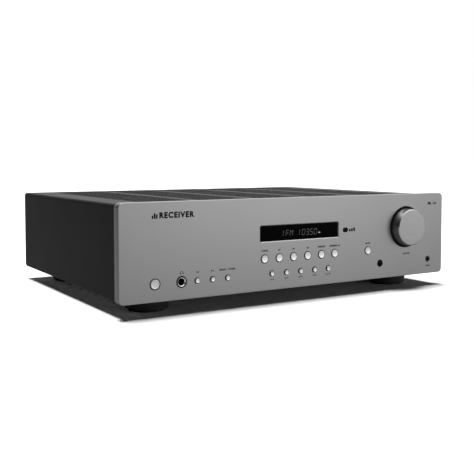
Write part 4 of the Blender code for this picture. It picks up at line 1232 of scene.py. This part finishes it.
def mains_socket():
    """The inlet with its three pins, and the well that the rocker sits in."""
    name = "mains_inlet"
    low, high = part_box(name)
    at, rocker = middle(name), middle("mains_rocker")
    plug_x = at.x - 12.5 * MM
    rim = rounded(high.x - low.x, high.z - low.z, 2 * MM, (at.x, at.z), 5)
    inset = rounded(high.x - low.x - MM, high.z - low.z - MM, 1.6 * MM, (at.x, at.z), 5)
    flange = bmesh.new()
    loft(flange, [rim, rim, inset], [BACK + 0.3 * MM, high.y - 0.4 * MM, high.y])
    made = piece("mains_moulding", to_mesh(name, flange), None, "case", [name])
    body = bmesh.new()
    box_faces(body, (low.x + 2.5 * MM, low.y, low.z + 2.5 * MM),
              (high.x - 2.5 * MM, BACK + MM, high.z - 2.5 * MM), 0.5 * MM)
    subtract(made, to_mesh("body", body), "UNION")
    floor = high.y - 17 * MM
    cavity, well = bmesh.new(), bmesh.new()
    rims = [
        rounded(24.6 * MM + grow, 16.8 * MM + grow, 3 * MM, (plug_x, at.z), 5)
        for grow in (1.4 * MM, 0, 0)
    ]
    loft(cavity, rims, [high.y + 0.1 * MM, high.y - 0.6 * MM, floor])
    subtract(made, to_mesh("cavity", cavity))
    rims = [
        rounded(22.2 * MM + grow, 14 * MM + grow, 0.8 * MM, (rocker.x, at.z), 4)
        for grow in (0.8 * MM, 0, 0)
    ]
    loft(well, rims, [high.y + 0.1 * MM, high.y - 0.3 * MM, high.y - 13 * MM])
    subtract(made, to_mesh("well", well))
    made.data.materials.clear()
    made.data.materials.append(BLACK_PLASTIC)
    flat_where(made.data, 1)
    pins = bmesh.new()
    for x, z in ((-7, -2), (0, 2), (7, -2)):
        x, z = plug_x + x * MM, at.z + z * MM
        corner = (x - MM, floor - 0.2 * MM, z - 2 * MM)
        box_faces(pins, corner, (x + MM, floor + 10 * MM, z + 2 * MM), 0.4 * MM)
    piece("mains_pins", to_mesh("mains_pins", pins), NICKEL)
    rocker_switch(rocker)


def rocker_switch(at):
    """A rocker with a scooped face, resting with its right end out, and its two marks."""
    name = "mains_rocker"
    tilt = Matrix.Rotation(math.radians(-12), 4, "Z")
    pivot = Vector((at.x, BACK - 1.5 * MM, at.z))
    reach, rise, depth, half = 9.4 * MM, 4.8 * MM, 3.5 * MM, 6.3 * MM
    outline = [(-reach * 0.8, -depth), (reach * 0.8, -depth)]
    for step in range(13):
        across = 1 - step / 6
        outline.append((reach * across, rise - 1.3 * MM * (1 - abs(across) ** 1.6)))
    shape = bmesh.new()
    low = [shape.verts.new((x, y, -half)) for x, y in outline]
    high = [shape.verts.new((x, y, half)) for x, y in outline]
    shape.faces.new(low)
    shape.faces.new(high)
    for i in range(len(outline)):
        j = (i + 1) % len(outline)
        shape.faces.new((low[i], low[j], high[j], high[i]))
    bmesh.ops.recalc_face_normals(shape, faces=shape.faces)
    rims = [edge for edge in shape.edges if edge.calc_face_angle(0) > 1.0]
    bmesh.ops.bevel(shape, geom=rims, offset=0.45 * MM, segments=3, profile=0.5, affect="EDGES")
    shape.transform(Matrix.Translation(pivot) @ tilt)
    mesh = to_mesh(name, shape, angle=25)
    piece("rocker_paddle", mesh, BLACK_CAP, name, [name])

    marks = bmesh.new()
    face = rise - 0.52 * MM
    box_faces(marks, (5.2 * MM, face - 0.1 * MM, -2 * MM), (5.8 * MM, face + 0.02 * MM, 2 * MM))
    centre = (-5.6 * MM, 0, 0)
    band = [(1.5 * MM, face - 0.2 * MM), (1.5 * MM, face + 0.03 * MM)]
    band += [(2.0 * MM, face + 0.03 * MM), (2.0 * MM, face - 0.2 * MM)]
    lathe(marks, band, centre, 32)
    marks.transform(Matrix.Translation(pivot) @ tilt)
    piece("rocker_marks", to_mesh("rocker_marks", marks), PRINT_WHITE, name)


SCREW_HEAD, LOWER_SCREW_PITCH = 4.6 * MM, 92.5 * MM


def rear_screws():
    for side in ("left", "right"):
        name = f"cover_screw_{side}"
        low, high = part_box(name)
        at = middle(name)
        place = (at.x, BACK, at.z)
        made = cross_screw(name + "_head", place, high.x - low.x, COVER_PAINT)
        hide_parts(name)
        shank = [(0, low.y), (1.5 * MM, low.y), (1.5 * MM, BACK), (0, BACK)]
        turned(name + "_shank", shank, at, ZINC, 20)
    count = 0
    for node, columns in (("phono_socket_block", 7), ("speaker_terminal_block", 3)):
        low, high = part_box(node)
        for column in range(0, columns, columns - 1):
            for z in (low.z - 3.2 * MM, high.z + 3.2 * MM):
                x = low.x + 6 * MM + (high.x - low.x - 12 * MM) * column / (columns - 1)
                count += 1
                cross_screw(f"rear_screw_{count}", (x, BACK, z), SCREW_HEAD, COVER_PAINT)
    for i in range(5):
        x = (i - 2) * LOWER_SCREW_PITCH
        count += 1
        place = (x, BACK, REAR_LOW.z + 5 * MM)
        cross_screw(f"rear_screw_{count}", place, SCREW_HEAD, COVER_PAINT)


def rear_print():
    """Plain white wording by the sockets."""
    ink = BACK + 0.005 * MM

    def words(name, text, x, z, height=2.2 * MM):
        place = (x, ink, z)
        lettering("rear_" + name, text, place, height, PRINT_WHITE, "back", bold=0.06 * MM)

    name = "phono_socket_block"
    at, high = middle(name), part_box(name)[1]
    for column, text in enumerate(("REC OUT", "A3", "A2", "A1", "DISC", "PHONO")):
        x = at.x + (column - 2.5) * PHONO_PITCH
        words(f"phono_{column}", text, x, high.z + 3.4 * MM, 2.0 * MM)
    words("left", "L", high.x + 3.4 * MM, at.z + 8.5 * MM, 3 * MM)
    words("right", "R", high.x + 3.4 * MM, at.z - 8.5 * MM, 3 * MM)
    name = "speaker_terminal_block"
    low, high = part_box(name)
    words("speakers_a", "SPEAKERS A", middle(name).x, high.z + 4 * MM)
    words("speakers_b", "SPEAKERS B", middle(name).x, low.z - 3.6 * MM)
    for i, sign in ((1, "-"), (2, "+"), (3, "-"), (4, "+")):
        words(f"sign_{i}", sign, middle(f"speaker_cap_{i}").x, low.z - 3.2 * MM, 3 * MM)
    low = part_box("antenna_block")[0]
    words("aerial", "AERIAL", middle("antenna_block").x, low.z - 3.2 * MM)
    words("earth", "GND", middle("ground_terminal").x, middle("ground_terminal").z - 9 * MM)
    low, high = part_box("mains_inlet")
    words("mains", "AC IN", low.x + 17 * MM, high.z + 3.6 * MM)
    words("power", "POWER", high.x - 15 * MM, high.z + 3.6 * MM)


# Everything ----------------------------------------------------------------------------

KEPT_FINISHES = {
    "fascia_frame": BLACK_PLASTIC,
    "display_module": DEEP_BLACK,
    "control_board": BOARD,
    "volume_shaft": NICKEL,
    "volume_encoder": ZINC,
    "chassis_tray": ZINC,
    "rear_panel": COVER_PAINT,
    "toroidal_transformer": TAPE,
    "transformer_clamp": ZINC,
    "heat_sink": SINK,
    "amplifier_board": BOARD,
    "main_board": BOARD,
    "reservoir_capacitor_1": SLEEVE,
    "reservoir_capacitor_2": SLEEVE,
    "tuner_module": TIN,
    "ribbon_cable": RIBBON,
}


def refinish_kept_nodes():
    """The CAD nodes that stay visible keep their shape and get a finish."""
    for name, material in KEPT_FINISHES.items():
        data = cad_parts[name].data
        data.materials.clear()
        data.materials.append(material)


camera()
studio()
front_panel()
display()
for button in BUTTON_HOLES:
    push_button(button)
button_gap_shade()
headphone_socket()
small_jack()
remote_window()
volume_knob()
front_print()
top_cover()
for row in ("front", "rear"):
    for side in ("left", "right"):
        foot(f"foot_{row}_{side}")
phono_sockets()
speaker_terminals()
aerial_sockets()
earth_terminal()
mains_socket()
rear_screws()
rear_print()
refinish_kept_nodes()
